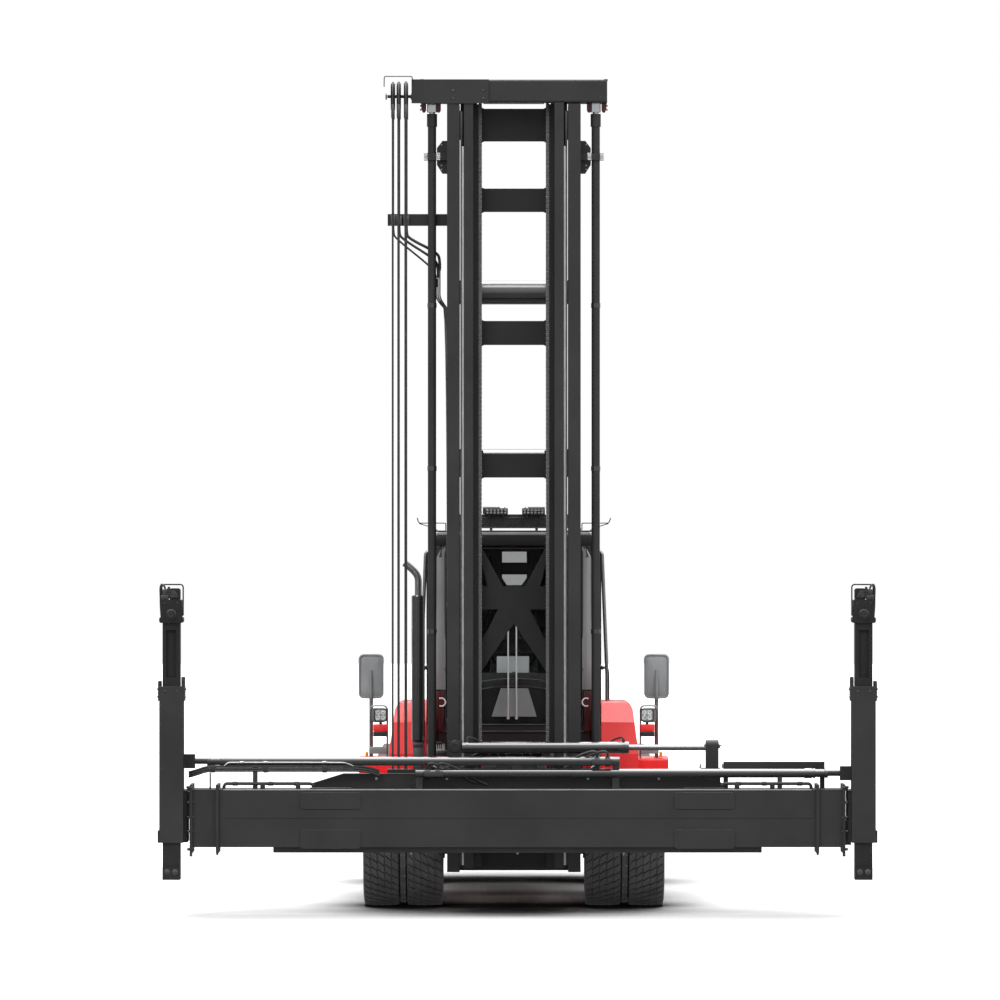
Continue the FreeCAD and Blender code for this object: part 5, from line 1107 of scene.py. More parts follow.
def dressColumns():
    for side, way in sides:
        low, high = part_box("lock_column_" + side)
        x = (low.x + high.x) / 2
        front = low.y + 0.06
        rear = high.y
        flangeTop = low.z + lockHead["flange"]
        body = "column_" + side
        at, foot = pointsFrom(x, front, flangeTop, way), pointsFrom(x, front, low.z)
        even, head = pointsFrom(x, front, flangeTop), pointsFrom(x, front, high.z, way)
        bm = bmesh.new()
        for across in (-0.078, 0.078):
            for y in (front + 0.03, rear - 0.04):
                addBolt(bm, (x + across, y, flangeTop), (0, 0, 1), 0.013)
        for across in (-0.034, 0.034):
            addRod(bm, foot(across, -0.005, lockHead["nut"]), foot(across, 0.004, lockHead["nut"]), 0.025, 24, None,
                   0.002)
            addBolt(bm, foot(across, -0.005, lockHead["nut"]), (0, -1, 0), 0.013)
        for across in (-0.055, 0.055):
            addBolt(bm, even(across, 0.001, 0.118), (0, -1, 0), 0.01)
        finishPiece("columnBolts_" + side, bm, "darkSteel", body)
        bm = bmesh.new()
        addTurned(bm, [(0.0, 0.045), (-0.006, 0.045), (-0.012, 0.036), (-0.012, 0.0285), (0.0, 0.0285)],
                  foot(0, 0, lockHead["pin"]), "y", 32)
        addTurned(bm, [(0.0, 0.0), (-0.0055, 0.012), (-0.0055, 0.0225), (-0.002, 0.0272), (0.004, 0.0283),
                       (0.004, 0.0)], foot(0, -0.055, lockHead["pin"]), "y", 32)
        addRod(bm, at(0.02, 0.03, 0.155), at(0.02, 0.03, 0.255), 0.011, 12, None, 0.002)
        addRod(bm, at(0.02, 0.03, 0.21), at(0.02, 0.03, 0.24), 0.019, 6)
        finishPiece("lockPin_" + side, bm, "mastBlack", body)
        bm = bmesh.new()
        addBox(bm, at(0.022, 0.02, 0.14), at(0.088, 0.1, 0.185), 0.006)
        addBox(bm, at(0.03, 0.03, 0.175), at(0.075, 0.08, 0.235), 0.008)
        addPlate(bm, [(x - way * 0.06, high.z - 0.1), (x - way * 0.03, high.z - 0.055),
                      (x + way * 0.01, high.z - 0.055), (x + way * 0.045, high.z - 0.09),
                      (x + way * 0.045, high.z - 0.115), (x - way * 0.06, high.z - 0.115)], "y", front + 0.03,
                 front + 0.042, 0.002)
        addRod(bm, head(-0.04, 0.022, -0.085), head(-0.04, 0.05, -0.085), 0.012, 12)
        addRod(bm, head(0.025, 0.022, -0.088), head(0.025, 0.05, -0.088), 0.01, 12)
        addBox(bm, at(-0.1, 0.05, 0.01), at(-0.09, 0.12, 0.09), 0.003)
        finishPiece("lockLinkage_" + side, bm, "trimPlastic", body)
        bm = bmesh.new()
        for step in (0.0, 0.022):
            addPipe(bm, [at(0.05, 0.07 + step, 0.22), at(0.055 + step * 0.5, 0.07 + step, 0.27 + step * 0.4),
                         at(0.088 + step * 0.5, 0.08 + step, 0.262 + step * 0.3), at(0.096, 0.1 + step, 0.16),
                         at(0.094, 0.13 + step, 0.05), at(0.088, 0.14 + step, -0.006)], lockHead["hoseRadius"])
        finishPiece("lockHoses_" + side, bm, "hoseRubber", body)
        body = "telescope_" + side
        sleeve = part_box("telescope_" + side)
        collarTop = sleeve[1].z
        collar = pointsFrom(x, front, collarTop)
        bm = bmesh.new()
        for across in (-0.052, 0.052):
            addBolt(bm, collar(across, 0.002, -0.033), (0, -1, 0), 0.014)
            addBolt(bm, (x + across * 1.4, front + 0.022, sleeve[0].z + 0.05), (0, -1, 0), 0.008)
        for across in (-0.112, 0.112):
            addBolt(bm, collar(across, 0.12, -0.02), (1 if across > 0 else -1, 0, 0), 0.016)
            addBolt(bm, collar(across, 0.06, -0.085), (1 if across > 0 else -1, 0, 0), 0.013)
        finishPiece("collarBolts_" + side, bm, "darkSteel", body)
        bm = bmesh.new()
        for across in (-0.099, 0.099):
            rise = 0.084 if across * way < 0 else 0.05
            addBox(bm, collar(across - 0.015, 0.045, -0.006), collar(across + 0.015, 0.15, rise), 0.006)
            for z in (collarTop + 0.012, collarTop - 0.05):
                addRod(bm, (x + across * 1.05, front + 0.03, z), (x + across * 1.05, front + 0.06, z), 0.011, 10,
                       None, 0.002)
        addBox(bm, collar(-0.108, 0.004, -0.012), collar(0.108, 0.02, 0.006), 0.003)
        finishPiece("collarEars_" + side, bm, "mastBlack", body)


shift = {"boss": (-0.5, 1.426), "clevisX": (1.636, 1.746)}


def dressShift():
    low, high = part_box("shift_barrel")
    y, z = (low.y + high.y) / 2, (low.z + high.z) / 2
    x = shift["boss"][0]
    bm = bmesh.new()
    addTurned(bm, [(-0.04, 0.0), (-0.04, 0.018), (-0.046, 0.02), (-0.046, 0.034), (-0.04, 0.038), (-0.04, 0.049),
                   (-0.034, 0.0535), (0.0, 0.0535), (0.0, 0.0)], (x, y, shift["boss"][1]), "y", 40)
    for rise in (-0.052, 0.052):
        addBolt(bm, (x + rise, y - 0.03, z - 0.028), (0, -1, 0), 0.009)
    finishPiece("shiftBoss", bm, "mastBlack", "carriage")
    bm = bmesh.new()
    addTurned(bm, [(0.0, 0.0255), (0.0, 0.0515), (-0.03, 0.052), (-0.034, 0.0485), (-0.06, 0.0485), (-0.06, 0.0505),
                   (-0.004, 0.0505), (-0.004, 0.0255)], (high.x + 0.004, y, z), "x", 36)
    for along in (0.03, 0.97):
        x = low.x + (high.x - low.x) * along
        addBand(bm, (x, y, z), "x", 0.012, 0.0495, 0.054, 32)
        at = pointsFrom(x, y, z)
        addRod(bm, at(0, -0.02, 0.045), at(0, -0.02, 0.07), 0.014, 6)
    finishPiece("shiftGland", bm, "barrelBlack", "carriage")
    bm = bmesh.new()
    addTurned(bm, [(-0.36, 0.0242), (-0.36, 0.0246), (0.668, 0.0246), (0.668, 0.0242)], (high.x, y, z), "x", 32)
    finishPiece("shiftRodChrome", bm, "pipeSteel", "spreader")
    bm = bmesh.new()
    for along in (0.03, 0.97):
        x = low.x + (high.x - low.x) * along
        at = pointsFrom(x, y, z, -1 if along > 0.5 else 1)
        addPipe(bm, [at(0, -0.02, 0.065), at(0, -0.02, 0.088), at(0.03, 0, 0.085), at(0.1, 0.05, 0.06),
                     at(0.2, 0.1, -0.02)], 0.008)
    finishPiece("shiftHoses", bm, "hoseRubber", "carriage")
    bm = bmesh.new()
    x0, x1 = shift["clevisX"]
    for x, way in ((x0, -1), (x1, 1)):
        at = pointsFrom(x, y, z, way)
        addRod(bm, at(0, 0, 0.02), at(0.014, 0, 0.02), 0.026, 20, None, 0.003)
        addBolt(bm, at(0.014, 0, 0.02), (way, 0, 0), 0.016)
    for x in (x0 - 0.045, x1 + 0.035):
        for depth in (-0.03, 0.04):
            at = pointsFrom(x, y, z)
            addBolt(bm, at(0, depth, -0.174), (0, 0, 1), 0.016)
            addRod(bm, at(0, depth, -0.174), at(0, depth, -0.14), 0.006, 8)
    finishPiece("clevisPins", bm, "boltZinc", "spreader")


lowHoses = {"railTop": 1.24, "boltX": (-1.055, -1.012, -0.957, -0.9), "starts": (-0.2, -0.13, -0.06, 0.08, 0.15)}


def dressCarriage():
    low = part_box("carriage")[0]
    railTop = lowHoses["railTop"]
    bm = bmesh.new()
    for x in lowHoses["boltX"]:
        addBolt(bm, (x, low.y + 0.02, railTop - 0.011), (0, 0, 1), 0.01)
    finishPiece("carriageBolts", bm, "boltZinc", "carriage")
    at = pointsFrom(0, low.y, railTop)
    bm = bmesh.new()
    for way in (-1, 1):
        addBox(bm, (way * 0.3 - 0.055, low.y + 0.062, 0.832), (way * 0.3 + 0.055, low.y + 0.14, 1.108), 0.012)
        addBox(bm, at(way * 0.45 - 0.028, 0.012, -0.002), at(way * 0.45 + 0.028, 0.05, 0.03), 0.006)
    for x in (-0.22, -0.15, 0.12, 0.2):
        addRod(bm, at(x, 0.035, -0.01), at(x, 0.035, 0.028), 0.014, 6)
    addBox(bm, at(-0.26, 0.066, -0.02), at(0.27, 0.2, 0.07), 0.008)
    finishPiece("valveBlock", bm, "darkSteel", "carriage")
    bm = bmesh.new()
    for i, x in enumerate(lowHoses["starts"]):
        addPipe(bm, [at(x, 0.1, 0.065), at(x, 0.1, 0.11), at(x - 0.03, 0.11, 0.13), at(x - 0.12, 0.12, 0.12),
                     at(-0.42 - 0.02 * i, 0.11, 0.06), at(-0.55 - 0.02 * i, 0.09, 0.01),
                     at(-0.7, 0.075, -0.03 - 0.012 * i), at(-0.92, 0.07, -0.045 - 0.012 * i)], 0.009)
    for x in hose["places"]:
        strandY = (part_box("mast_hoses")[0].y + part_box("mast_hoses")[1].y) / 2 - hose["groove"]
        strand = pointsFrom(x, strandY, 0)
        addPipe(bm, [(x, strandY, 1.192), strand(0, 0, 1.1), strand(0, -0.01, 1.03), strand(0.03, -0.06, 0.985),
                     strand(0.1, -0.09, 0.99), (-0.68, strandY - 0.11, 1.02), (-0.6, strandY - 0.12, 1.06)], 0.01)
    finishPiece("carriageHoses", bm, "hoseRubber", "carriage")


dressBeam()
dressArms()
dressColumns()
dressShift()
dressCarriage()
print("spreader and carriage done")


# cab

cab = {"openHalf": 0.6, "openLow": 1.56, "openHigh": 3.105, "sealOut": 0.692, "sealLow": 1.5, "sealHigh": 3.16,
       "sealRadius": 0.011, "panelIn": 0.598, "panelLow": 1.87, "panelOut": 0.68}


def screenY(z):
    # front surface of the cab at a height
    return -1.1475 - (z - 1.4) * 0.0615 if z < 2.05 else -1.1875 + (z - 2.05) * 0.1043


def dressScreen():
    bm = bmesh.new()
    for half, low, high, corner, radius in ((cab["sealOut"], cab["sealLow"], cab["sealHigh"], 0.15,
                                             cab["sealRadius"]),
                                            (cab["openHalf"], cab["openLow"], cab["openHigh"], 0.095, 0.008)):
        ring = []
        for across, up in ((half, high - corner), (half, high), (half - corner, high), (corner - half, high),
                           (-half, high), (-half, high - corner), (-half, (low + high) / 2), (-half, low + corner),
                           (-half, low), (corner - half, low), (half - corner, low), (half, low),
                           (half, low + corner), (half, (low + high) / 2)):
            ring.append((across, screenY(up) - 0.004, up))
        addPipe(bm, ring, radius, 3, True)
    finishPiece("screenSeals", bm, "sealRubber", "root")
    bm = bmesh.new()
    for way in (-1, 1):
        rings = []
        for i in range(13):
            z = cab["panelLow"] + (cab["sealHigh"] - 0.03 - cab["panelLow"]) * i / 12
            inset = 0.055 * max(0.0, (z - 3.0) / 0.13) ** 2
            y = screenY(z)
            out = cab["panelOut"] - inset
            rings.append([(way * across, y + back, z) for across, back in ((cab["panelIn"], -0.002), (0.632, -0.007),
                                                                           (out - 0.02, -0.006), (out, 0.0),
                                                                           (out, 0.012), (cab["panelIn"], 0.012))])
        addLoft(bm, rings)
    finishPiece("screenPanels", bm, "pillarGrey", "root")
    bm = bmesh.new()
    for x, low, high in ((-0.05, 1.74, 2.46), (0.022, 1.76, 2.47)):
        y = screenY(2.05) - 0.026
        addRod(bm, (x, screenY(1.62) - 0.012, 1.62), (x, y, low + 0.3), 0.007, 8)
        addBox(bm, (x - 0.006, y - 0.006, low), (x + 0.006, y + 0.004, high), 0.002)
        addBox(bm, (x - 0.003, y + 0.003, low), (x + 0.003, y + 0.016, high), 0.001)
        addRod(bm, (x, screenY(1.62) - 0.022, 1.62), (x, screenY(1.62) + 0.01, 1.62), 0.013, 16, None, 0.004)
    finishPiece("wipers", bm, "rimPaint", "root")


roof = {"half": 0.555, "low": 3.286, "high": 3.372, "lamps": ((-0.254, -0.052), (0.072, 0.274)), "meshPitch": 0.03,
        "meshRod": 0.0036}


def dressRoof():
    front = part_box("roof_guard")[0].y + 0.05
    bm = bmesh.new()
    left, right, bottom, top = -roof["half"], roof["half"], roof["low"], roof["high"]
    height = top - bottom
    place = left
    while place < right:
        for lean in (1, -1):
            x0 = place if lean > 0 else place + height
            x1 = x0 + lean * height
            if min(x0, x1) >= left - 1e-6 and max(x0, x1) <= right + 1e-6:
                addRod(bm, (x0, front - 0.004, bottom), (x1, front - 0.004, top), roof["meshRod"], 5)
        place += roof["meshPitch"] * 0.5
    for z in (bottom, top):
        addRod(bm, (left, front - 0.004, z), (right, front - 0.004, z), 0.006, 8)
    finishPiece("roofMesh", bm, "darkSteel", "root")
    # plate behind the roof mesh and band under the roof front in the darker mast paint: painted shade
    bm = bmesh.new()
    addBox(bm, (left, front + 0.022, bottom), (right, front + 0.026, top), 0.001, 1)
    addBox(bm, (-0.685, -1.118, 3.128), (0.685, -1.075, 3.222), 0.012)
    finishPiece("roofShields", bm, "crossBlack", "root")
    bm = bmesh.new()
    for x0, x1 in roof["lamps"]:
        addBox(bm, (x0, front - 0.055, 3.398), (x1, front - 0.012, 3.458), 0.008)
        for i in range(4):
            x = x0 + 0.028 + i * (x1 - x0 - 0.056) / 3
            addBox(bm, (x - 0.005, front - 0.012, 3.4), (x + 0.005, front + 0.012, 3.466), 0.002)
        addBox(bm, (x0 + 0.03, front - 0.03, 3.372), (x0 + 0.05, front - 0.01, 3.4), 0.003)
        addBox(bm, (x1 - 0.05, front - 0.03, 3.372), (x1 - 0.03, front - 0.01, 3.4), 0.003)
    finishPiece("roofLamps", bm, "lampHousing", "root")
    bm = bmesh.new()
    for x0, x1 in roof["lamps"]:
        for i in range(6):
            x = x0 + 0.022 + i * (x1 - x0 - 0.044) / 5
            for z in (3.417, 3.44):
                addTurned(bm, [(-0.002, 0.0), (-0.001, 0.007), (0.004, 0.011), (0.004, 0.0)], (x, front - 0.058, z),
                          "y", 14)
    finishPiece("roofLights", bm, "lampGlass", "root")
    bm = bmesh.new()
    for way in (-1, 1):
        at = pointsFrom(0, front, 0, way)
        addPipe(bm, [at(0.85, 0, 3.372), at(0.845, 0, 3.35), at(0.834, 0, 3.326), at(0.8, 0, 3.326),
                     at(0.62, 0, 3.326), at(0.599, 0, 3.326), at(0.599, 0, 3.3), at(0.599, 0, 3.262)], 0.0048)
        addPipe(bm, [at(0.832, 0, 3.322), at(0.76, 0, 3.3), at(0.68, 0, 3.272), at(0.668, 0, 3.256)], 0.0042)
    finishPiece("roofRods", bm, "darkSteel", "root")
    bm = bmesh.new()
    addBox(bm, (-0.675, -1.128, 3.224), (0.675, -1.05, 3.243), 0.006)
    finishPiece("roofStrip", bm, "greyPlastic", "root")
    bm = bmesh.new()
    addBox(bm, (-0.69, -1.094, 3.248), (0.69, -0.98, 3.262), 0.005)
    for x in (-0.5, -0.36, 0.31, 0.52):
        addBox(bm, (x, -1.04, 3.26), (x + 0.07, -0.99, 3.284), 0.006)
    finishPiece("roofLip", bm, "trimPlastic", "root")


seat = {"padCap": 0.022, "voxel": 0.006, "pressure": 4.0, "frames": 20, "seamDepth": 0.007, "seamWide": 0.007}


def readMesh(piece):
    # the piece's mesh with its modifiers applied
    graph = bpy.context.evaluated_depsgraph_get()
    return bpy.data.meshes.new_from_object(piece.evaluated_get(graph))


def fillPad(piece):
    # swells a pad with a short cloth run, with a cap on how far any point moves
    remesh = piece.modifiers.new("remesh", "REMESH")
    remesh.mode = "VOXEL"
    remesh.voxel_size = seat["voxel"]
    piece.data = readMesh(piece)
    piece.modifiers.clear()
    rest = [v.co.copy() for v in piece.data.vertices]
    cloth = piece.modifiers.new("cloth", "CLOTH")
    cloth.settings.quality = 5
    cloth.settings.mass = 0.3
    cloth.settings.use_pressure = True
    cloth.settings.uniform_pressure_force = seat["pressure"]
    cloth.settings.effector_weights.gravity = 0
    cloth.point_cache.frame_start = 1
    cloth.point_cache.frame_end = seat["frames"]
    for number in range(1, seat["frames"] + 1):
        bpy.context.scene.frame_set(number)
    mesh = readMesh(piece)
    piece.modifiers.clear()
    for v, start in zip(mesh.vertices, rest):
        move = v.co - start
        if move.length > seat["padCap"]:
            v.co = start + move.normalized() * seat["padCap"]
    piece.data = mesh
    bpy.context.scene.frame_set(1)
    return piece


def sewSeams(piece, places, low, high):
    # presses sewn channels into the pad at each x, and keeps it inside the room its solid holds
    for v in piece.data.vertices:
        depth = sum(math.exp(-((v.co.x - place) / seat["seamWide"]) ** 2) for place in places) * seat["seamDepth"]
        v.co -= v.normal * min(depth, seat["seamDepth"])
        for i in range(3):
            v.co[i] = min(max(v.co[i], low[i]), high[i])
    piece.data.materials.clear()
    piece.data.materials.append(mats["seatCloth"])
    piece.data.shade_smooth()
    levels = piece.modifiers.new("subdivision", "SUBSURF")
    levels.levels = levels.render_levels = 1


def fitSeat():
    floor = 1.455
    bm = bmesh.new()
    addBox(bm, (-0.195, -0.22, floor), (0.195, 0.15, floor + 0.035), 0.006)
    for i in range(5):
        z = floor + 0.04 + i * 0.03
        addLoft(bm, [roundRing("z", z, (-0.172, -0.19), (0.172, 0.13), 0.04),
                     roundRing("z", z + 0.013, (-0.188, -0.206), (0.188, 0.146), 0.045),
                     roundRing("z", z + 0.026, (-0.172, -0.19), (0.172, 0.13), 0.04)])
    addBox(bm, (-0.205, -0.235, floor + 0.195), (0.205, 0.17, floor + 0.262), 0.008)
    addLoft(bm, [[(-0.215, near, z), (-0.215, far, z), (0.215, far, z), (0.215, near, z)]
                 for z, near, far in ((1.8, 0.195, 0.235), (2.1, 0.235, 0.268), (2.4, 0.275, 0.3))])
    for way in (-1, 1):
        addBox(bm, (way * 0.216, 0.16, floor + 0.27), (way * 0.246, 0.235, floor + 0.42), 0.006)
        addRod(bm, (way * 0.205, -0.2, floor + 0.21), (way * 0.232, -0.2, floor + 0.21), 0.022, 16, None, 0.004)
    finishPiece("seatBase", bm, "trimPlastic", "root", ("operator_seat",))
    bm = bmesh.new()
    addLoft(bm, [roundRing("z", z, (-half, front), (half, back), corner)
                 for z, half, front, back, corner in ((1.722, 0.205, -0.29, 0.14, 0.06),
                                                      (1.732, 0.226, -0.312, 0.155, 0.06),
                                                      (1.77, 0.236, -0.322, 0.16, 0.065),
                                                      (1.8, 0.232, -0.318, 0.158, 0.065),
                                                      (1.818, 0.212, -0.292, 0.145, 0.06))])
    piece = finishPiece("seatCushion", bm, "seatCloth", "root", ("operator_seat",))
    fillPad(piece)
    sewSeams(piece, (-0.135, 0.135), (-0.25, -0.3375, 1.715), (0.25, 0.17, 1.842))
    bm = bmesh.new()
    rings = []
    for z, half, near, far, corner in ((1.856, 0.19, 0.165, 0.225, 0.025), (1.88, 0.222, 0.15, 0.232, 0.03),
                                       (2.0, 0.232, 0.158, 0.246, 0.035), (2.2, 0.222, 0.185, 0.266, 0.035),
                                       (2.34, 0.19, 0.205, 0.282, 0.035), (2.41, 0.15, 0.222, 0.288, 0.03),
                                       (2.43, 0.115, 0.236, 0.284, 0.02)):
        rings.append(roundRing("z", z, (-half, near), (half, far), corner))
    addLoft(bm, rings)
    piece = finishPiece("seatBackrest", bm, "seatCloth", "root", ("operator_seat",))
    fillPad(piece)
    sewSeams(piece, (-0.13, 0.13), (-0.25, 0.145, 1.846), (0.25, 0.3, 2.445))
    bm = bmesh.new()
    for way in (-1, 1):
        addLoft(bm, [roundRing("y", y, (way * 0.222 - 0.022, z), (way * 0.222 + 0.022, z + 0.045), 0.018)
                     for y, z in ((-0.15, 1.9), (0.0, 1.905), (0.12, 1.9))])
    finishPiece("seatArmrests", bm, "trimPlastic", "root")


def dressInterior():
    bm = bmesh.new()
    for x0, x1, z0, z1 in ((-0.6, -0.105, 1.9, 3.12), (0.115, 0.6, 1.9, 3.12), (-0.105, 0.115, 2.86, 2.968),
                           (-0.105, 0.115, 3.09, 3.12), (-0.105, 0.115, 1.9, 2.765)):
        addBox(bm, (x0, 0.405, z0), (x1, 0.418, z1), 0.002, 1)
    for x in (-0.4, -0.2, 0.2, 0.4):
        addBox(bm, (x - 0.008, 0.393, 1.9), (x + 0.008, 0.407, 3.12), 0.002)
    for wide in (-0.105, 0.115):
        addPlate(bm, [(wide, 2.765), (wide, 2.83), (wide * 0.6, 2.765)], "y", 0.404, 0.419, 0.001)
    finishPiece("rearScreen", bm, "trimPlastic", "root")
    bm = bmesh.new()
    addPlate(bm, [(-0.195, 1.63), (0.2, 1.63), (0.125, 1.88), (-0.115, 1.88)], "y", -1.119, -1.113, 0.002)
    addBox(bm, (-0.15, -0.93, 1.985), (0.135, -0.905, 2.16), 0.008, 2, None, Matrix.Rotation(-0.4, 4, "X"))
    finishPiece("dashPanels", bm, "rimPaint", "root")
    bm = bmesh.new()
    for way in (-1, 1):
        addRod(bm, (way * 0.302, -1.121, 1.6), (way * 0.302, -1.115, 2.02), 0.005, 8)
    for z in (1.965, 1.9):
        addPipe(bm, [(-0.3, -1.12, z - 0.03), (-0.15, -1.122, z), (0.15, -1.122, z), (0.3, -1.12, z - 0.03)], 0.005)
    finishPiece("dashEdges", bm, "pipeSteel", "root")
    bm = bmesh.new()
    addTurned(bm, [(-0.028, 0.0), (-0.028, 0.052), (0.0, 0.062), (0.014, 0.045), (0.018, 0.0)], (0.0, -0.745, 2.19),
              "z", 28)
    for x in (0.34, 0.37, 0.4):
        addRod(bm, (x, -0.28, 1.975), (x, -0.3, 2.07), 0.007, 10)
        addRod(bm, (x, -0.3, 2.062), (x, -0.304, 2.095), 0.013, 12, None, 0.004)
    for x in (-0.16, 0.1, 0.19):
        addBox(bm, (x - 0.03, -0.8, 1.475), (x + 0.03, -0.788, 1.56), 0.004, 2, None, Matrix.Rotation(-0.5, 4, "X"))
        addRod(bm, (x, -0.79, 1.5), (x, -0.87, 1.6), 0.008, 8)
    addBox(bm, (0.3, -0.1, 1.972), (0.42, 0.06, 1.995), 0.006)
    finishPiece("cabControls", bm, "trimPlastic", "root")
    bm = bmesh.new()
    addPlate(bm, [(-0.55, 3.13), (0.55, 3.13), (0.55, 3.085), (0.14, 3.097), (-0.13, 3.097), (-0.55, 3.085)], "y",
             -1.04, -1.032, 0.002)
    finishPiece("cabVisor", bm, "trimPlastic", "root")


def dressDoors():
    for side, way in sides:
        low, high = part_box("cab_door_" + side)
        outer = high.x if way > 0 else low.x
        bm = bmesh.new()
        y = high.y - 0.09
        at = pointsFrom(outer, y, 0, way)
        addBox(bm, at(-0.002, -0.075, 2.0), at(0.012, 0.02, 2.05), 0.004)
        addPipe(bm, [at(0.004, -0.06, 2.025), at(0.03, -0.055, 2.025), at(0.036, -0.02, 2.025),
                     at(0.03, 0.01, 2.025), at(0.004, 0.014, 2.025)], 0.008)
        addRod(bm, at(0, -0.03, 1.955), at(0.008, -0.03, 1.955), 0.016, 20, None, 0.002)
        finishPiece("doorHandle_" + side, bm, "trimPlastic", "door_" + side)
        bm = bmesh.new()
        near, far, foot, top = low.y + 0.04, high.y - 0.04, low.z + 0.05, high.z - 0.04
        ring = [(near, low.z + 0.16), (near, high.z - 0.14), (near, top), (low.y + 0.14, top), (high.y - 0.14, top),
                (far, top), (far, high.z - 0.14), (far, low.z + 0.16), (far, foot), (high.y - 0.14, foot),
                (low.y + 0.14, foot), (near, foot)]
        addPipe(bm, [(outer + way * 0.001, across, up) for across, up in ring], 0.007, 2, True)
        finishPiece("doorSeal_" + side, bm, "sealRubber", "door_" + side)


dressScreen()
dressRoof()
fitSeat()
dressInterior()
dressDoors()
print("cab done")


# exhaust, rails, mirrors and lamps beside the cab

stack = {"x": -0.8265, "y": -1.9195, "radius": 0.055, "bands": (1.62, 2.06, 2.52), "cover": (1.455, 2.695)}


def fitExhaust():
    x, y = stack["x"], stack["y"]
    at = pointsFrom(x, y, 0)
    bm = bmesh.new()
    addPipe(bm, [(x, y, 2.68), (x, y, 2.78), (x, y, 2.86), at(-0.028, 0.002, 2.905), at(-0.075, 0.004, 2.95),
                 at(-0.12, 0.006, 2.985)], 0.03, 5)
    for z in stack["bands"]:
        addBand(bm, (x, y, z), "z", 0.009, 0.0555, 0.0585, 32)
    finishPiece("tailPipe", bm, "pipeSteel", "root", ("exhaust_stack",))
    # bright steel rod down the left front of the silencer: a painted highlight for the light on its edge
    bm = bmesh.new()
    addRod(bm, at(-0.05, -0.036, 1.452), at(-0.05, -0.036, 2.7), 0.0085, 10)
    finishPiece("silencerEdgeHighlight", bm, "brightSteel", "root", ("exhaust_stack",))
    bm = bmesh.new()
    addTurned(bm, [(1.43, 0.0), (1.43, 0.048), (1.445, stack["radius"]), (2.69, stack["radius"]), (2.705, 0.048),
                   (2.705, 0.0)], (x, y, 0), "z", 36)
    rings = []
    for z in stack["cover"]:
        ring = []
        for radius, first, turn in ((0.0605, 198, 144), (0.0585, 342, -144)):
            for i in range(9):
                angle = math.radians(first + turn * i / 8)
                ring.append(at(radius * math.cos(angle), radius * math.sin(angle), z))
        rings.append(ring)
    addLoft(bm, rings)
    finishPiece("silencer", bm, "barrelBlack", "root", ("exhaust_stack",))
    bm = bmesh.new()
    addBox(bm, at(-0.045, -0.05, 1.39), at(0.045, 0.05, 1.432), 0.004)
    addBox(bm, at(-0.045, -0.046, 1.03), at(0.045, -0.036, 1.4), 0.003)
    addPipe(bm, [at(0, 0.02, 1.43), at(0, 0.02, 1.3), at(0.01, 0.02, 1.2), at(0.02, 0.02, 1.02)], 0.032, 4)
    finishPiece("stackBracket", bm, "darkSteel", "root", ("exhaust_stack",))


def dressRails():
    bm = bmesh.new()
    for way in (-1, 1):
        at = pointsFrom(0, -0.93, 0, way)
        addPipe(bm, [at(0.775, 0, 2.06), at(0.815, 0, 2.055), at(0.829, 0, 2.03), at(0.831, 0, 1.9),
                     at(0.829, 0, 1.56), at(0.825, 0, 1.52), at(0.8, 0, 1.512), at(0.768, 0, 1.54)], 0.011)
        addRod(bm, at(0.758, 0, 2.06), at(0.778, 0, 2.06), 0.016, 12)
    finishPiece("lowerRails", bm, "trimPlastic", "root")
    # dark red panels beside the sill: painted shade where the red cab base sits in shadow
    bm = bmesh.new()
    for way in (-1, 1):
        addBox(bm, (way * 0.612, -1.188, 1.5), (way * 0.752, -1.16, 1.855), 0.008)
    finishPiece("sillShadePanels", bm, "deepRed", "root")
    bm = bmesh.new()
    for way in (-1, 1):
        centre = Vector((way * 0.634, -1.196, 1.759))
        addPipe(bm, [centre + Vector((0.036 * way * math.cos(a), 0, 0.036 * math.sin(a)))
                     for a in [math.radians(60 + 24 * i) for i in range(11)]], 0.007)
    finishPiece("sillHooks", bm, "warnWhite", "root")


mirror = {"x": 1.24, "middle": 1.9975}


def dressMirrors():
    low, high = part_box("mirrors")
    bm = bmesh.new()
    x = mirror["x"]
    at = pointsFrom(x, low.y, 0)
    rings = [roundRing("y", y, (x - half, mirror["middle"] - tall), (x + half, mirror["middle"] + tall), radius)
             for y, half, tall, radius in ((low.y + 0.012, 0.098, 0.181, 0.036),
                                           (low.y + 0.002, 0.098, 0.181, 0.036), (low.y - 0.006, 0.078, 0.155, 0.03),
                                           (low.y - 0.014, 0.036, 0.09, 0.02))]
    addLoft(bm, rings)
    addMirrored(bm)
    finishPiece("mirrorBacks", bm, "plateGrey", "root")
    bm = bmesh.new()
    addPipe(bm, roundRing("y", low.y - 0.001, (x - 0.1, 1.813), (x + 0.1, 2.182), 0.036, 3), 0.0095, 3, True)
    addPipe(bm, [at(0, -0.016, 2.05), at(0, -0.026, 2.0), at(0, -0.03, 1.94), at(0, -0.03, 1.86), at(0, -0.02, 1.8),
                 at(0, 0.03, 1.79)], 0.012)
    addMirrored(bm)
    finishPiece("mirrorFrames", bm, "greyPlastic", "root")
    bm = bmesh.new()
    addLoft(bm, [roundRing("y", y, (x - 0.094, 1.82), (x + 0.094, 2.175), 0.034)
                 for y in (high.y - 0.004, high.y + 0.003)])
    addMirrored(bm)
    finishPiece("mirrorGlasses", bm, "mirrorGlass", "root")


lamp = {"x": 1.1555, "low": 1.613, "high": 1.717, "front": -1.7525}


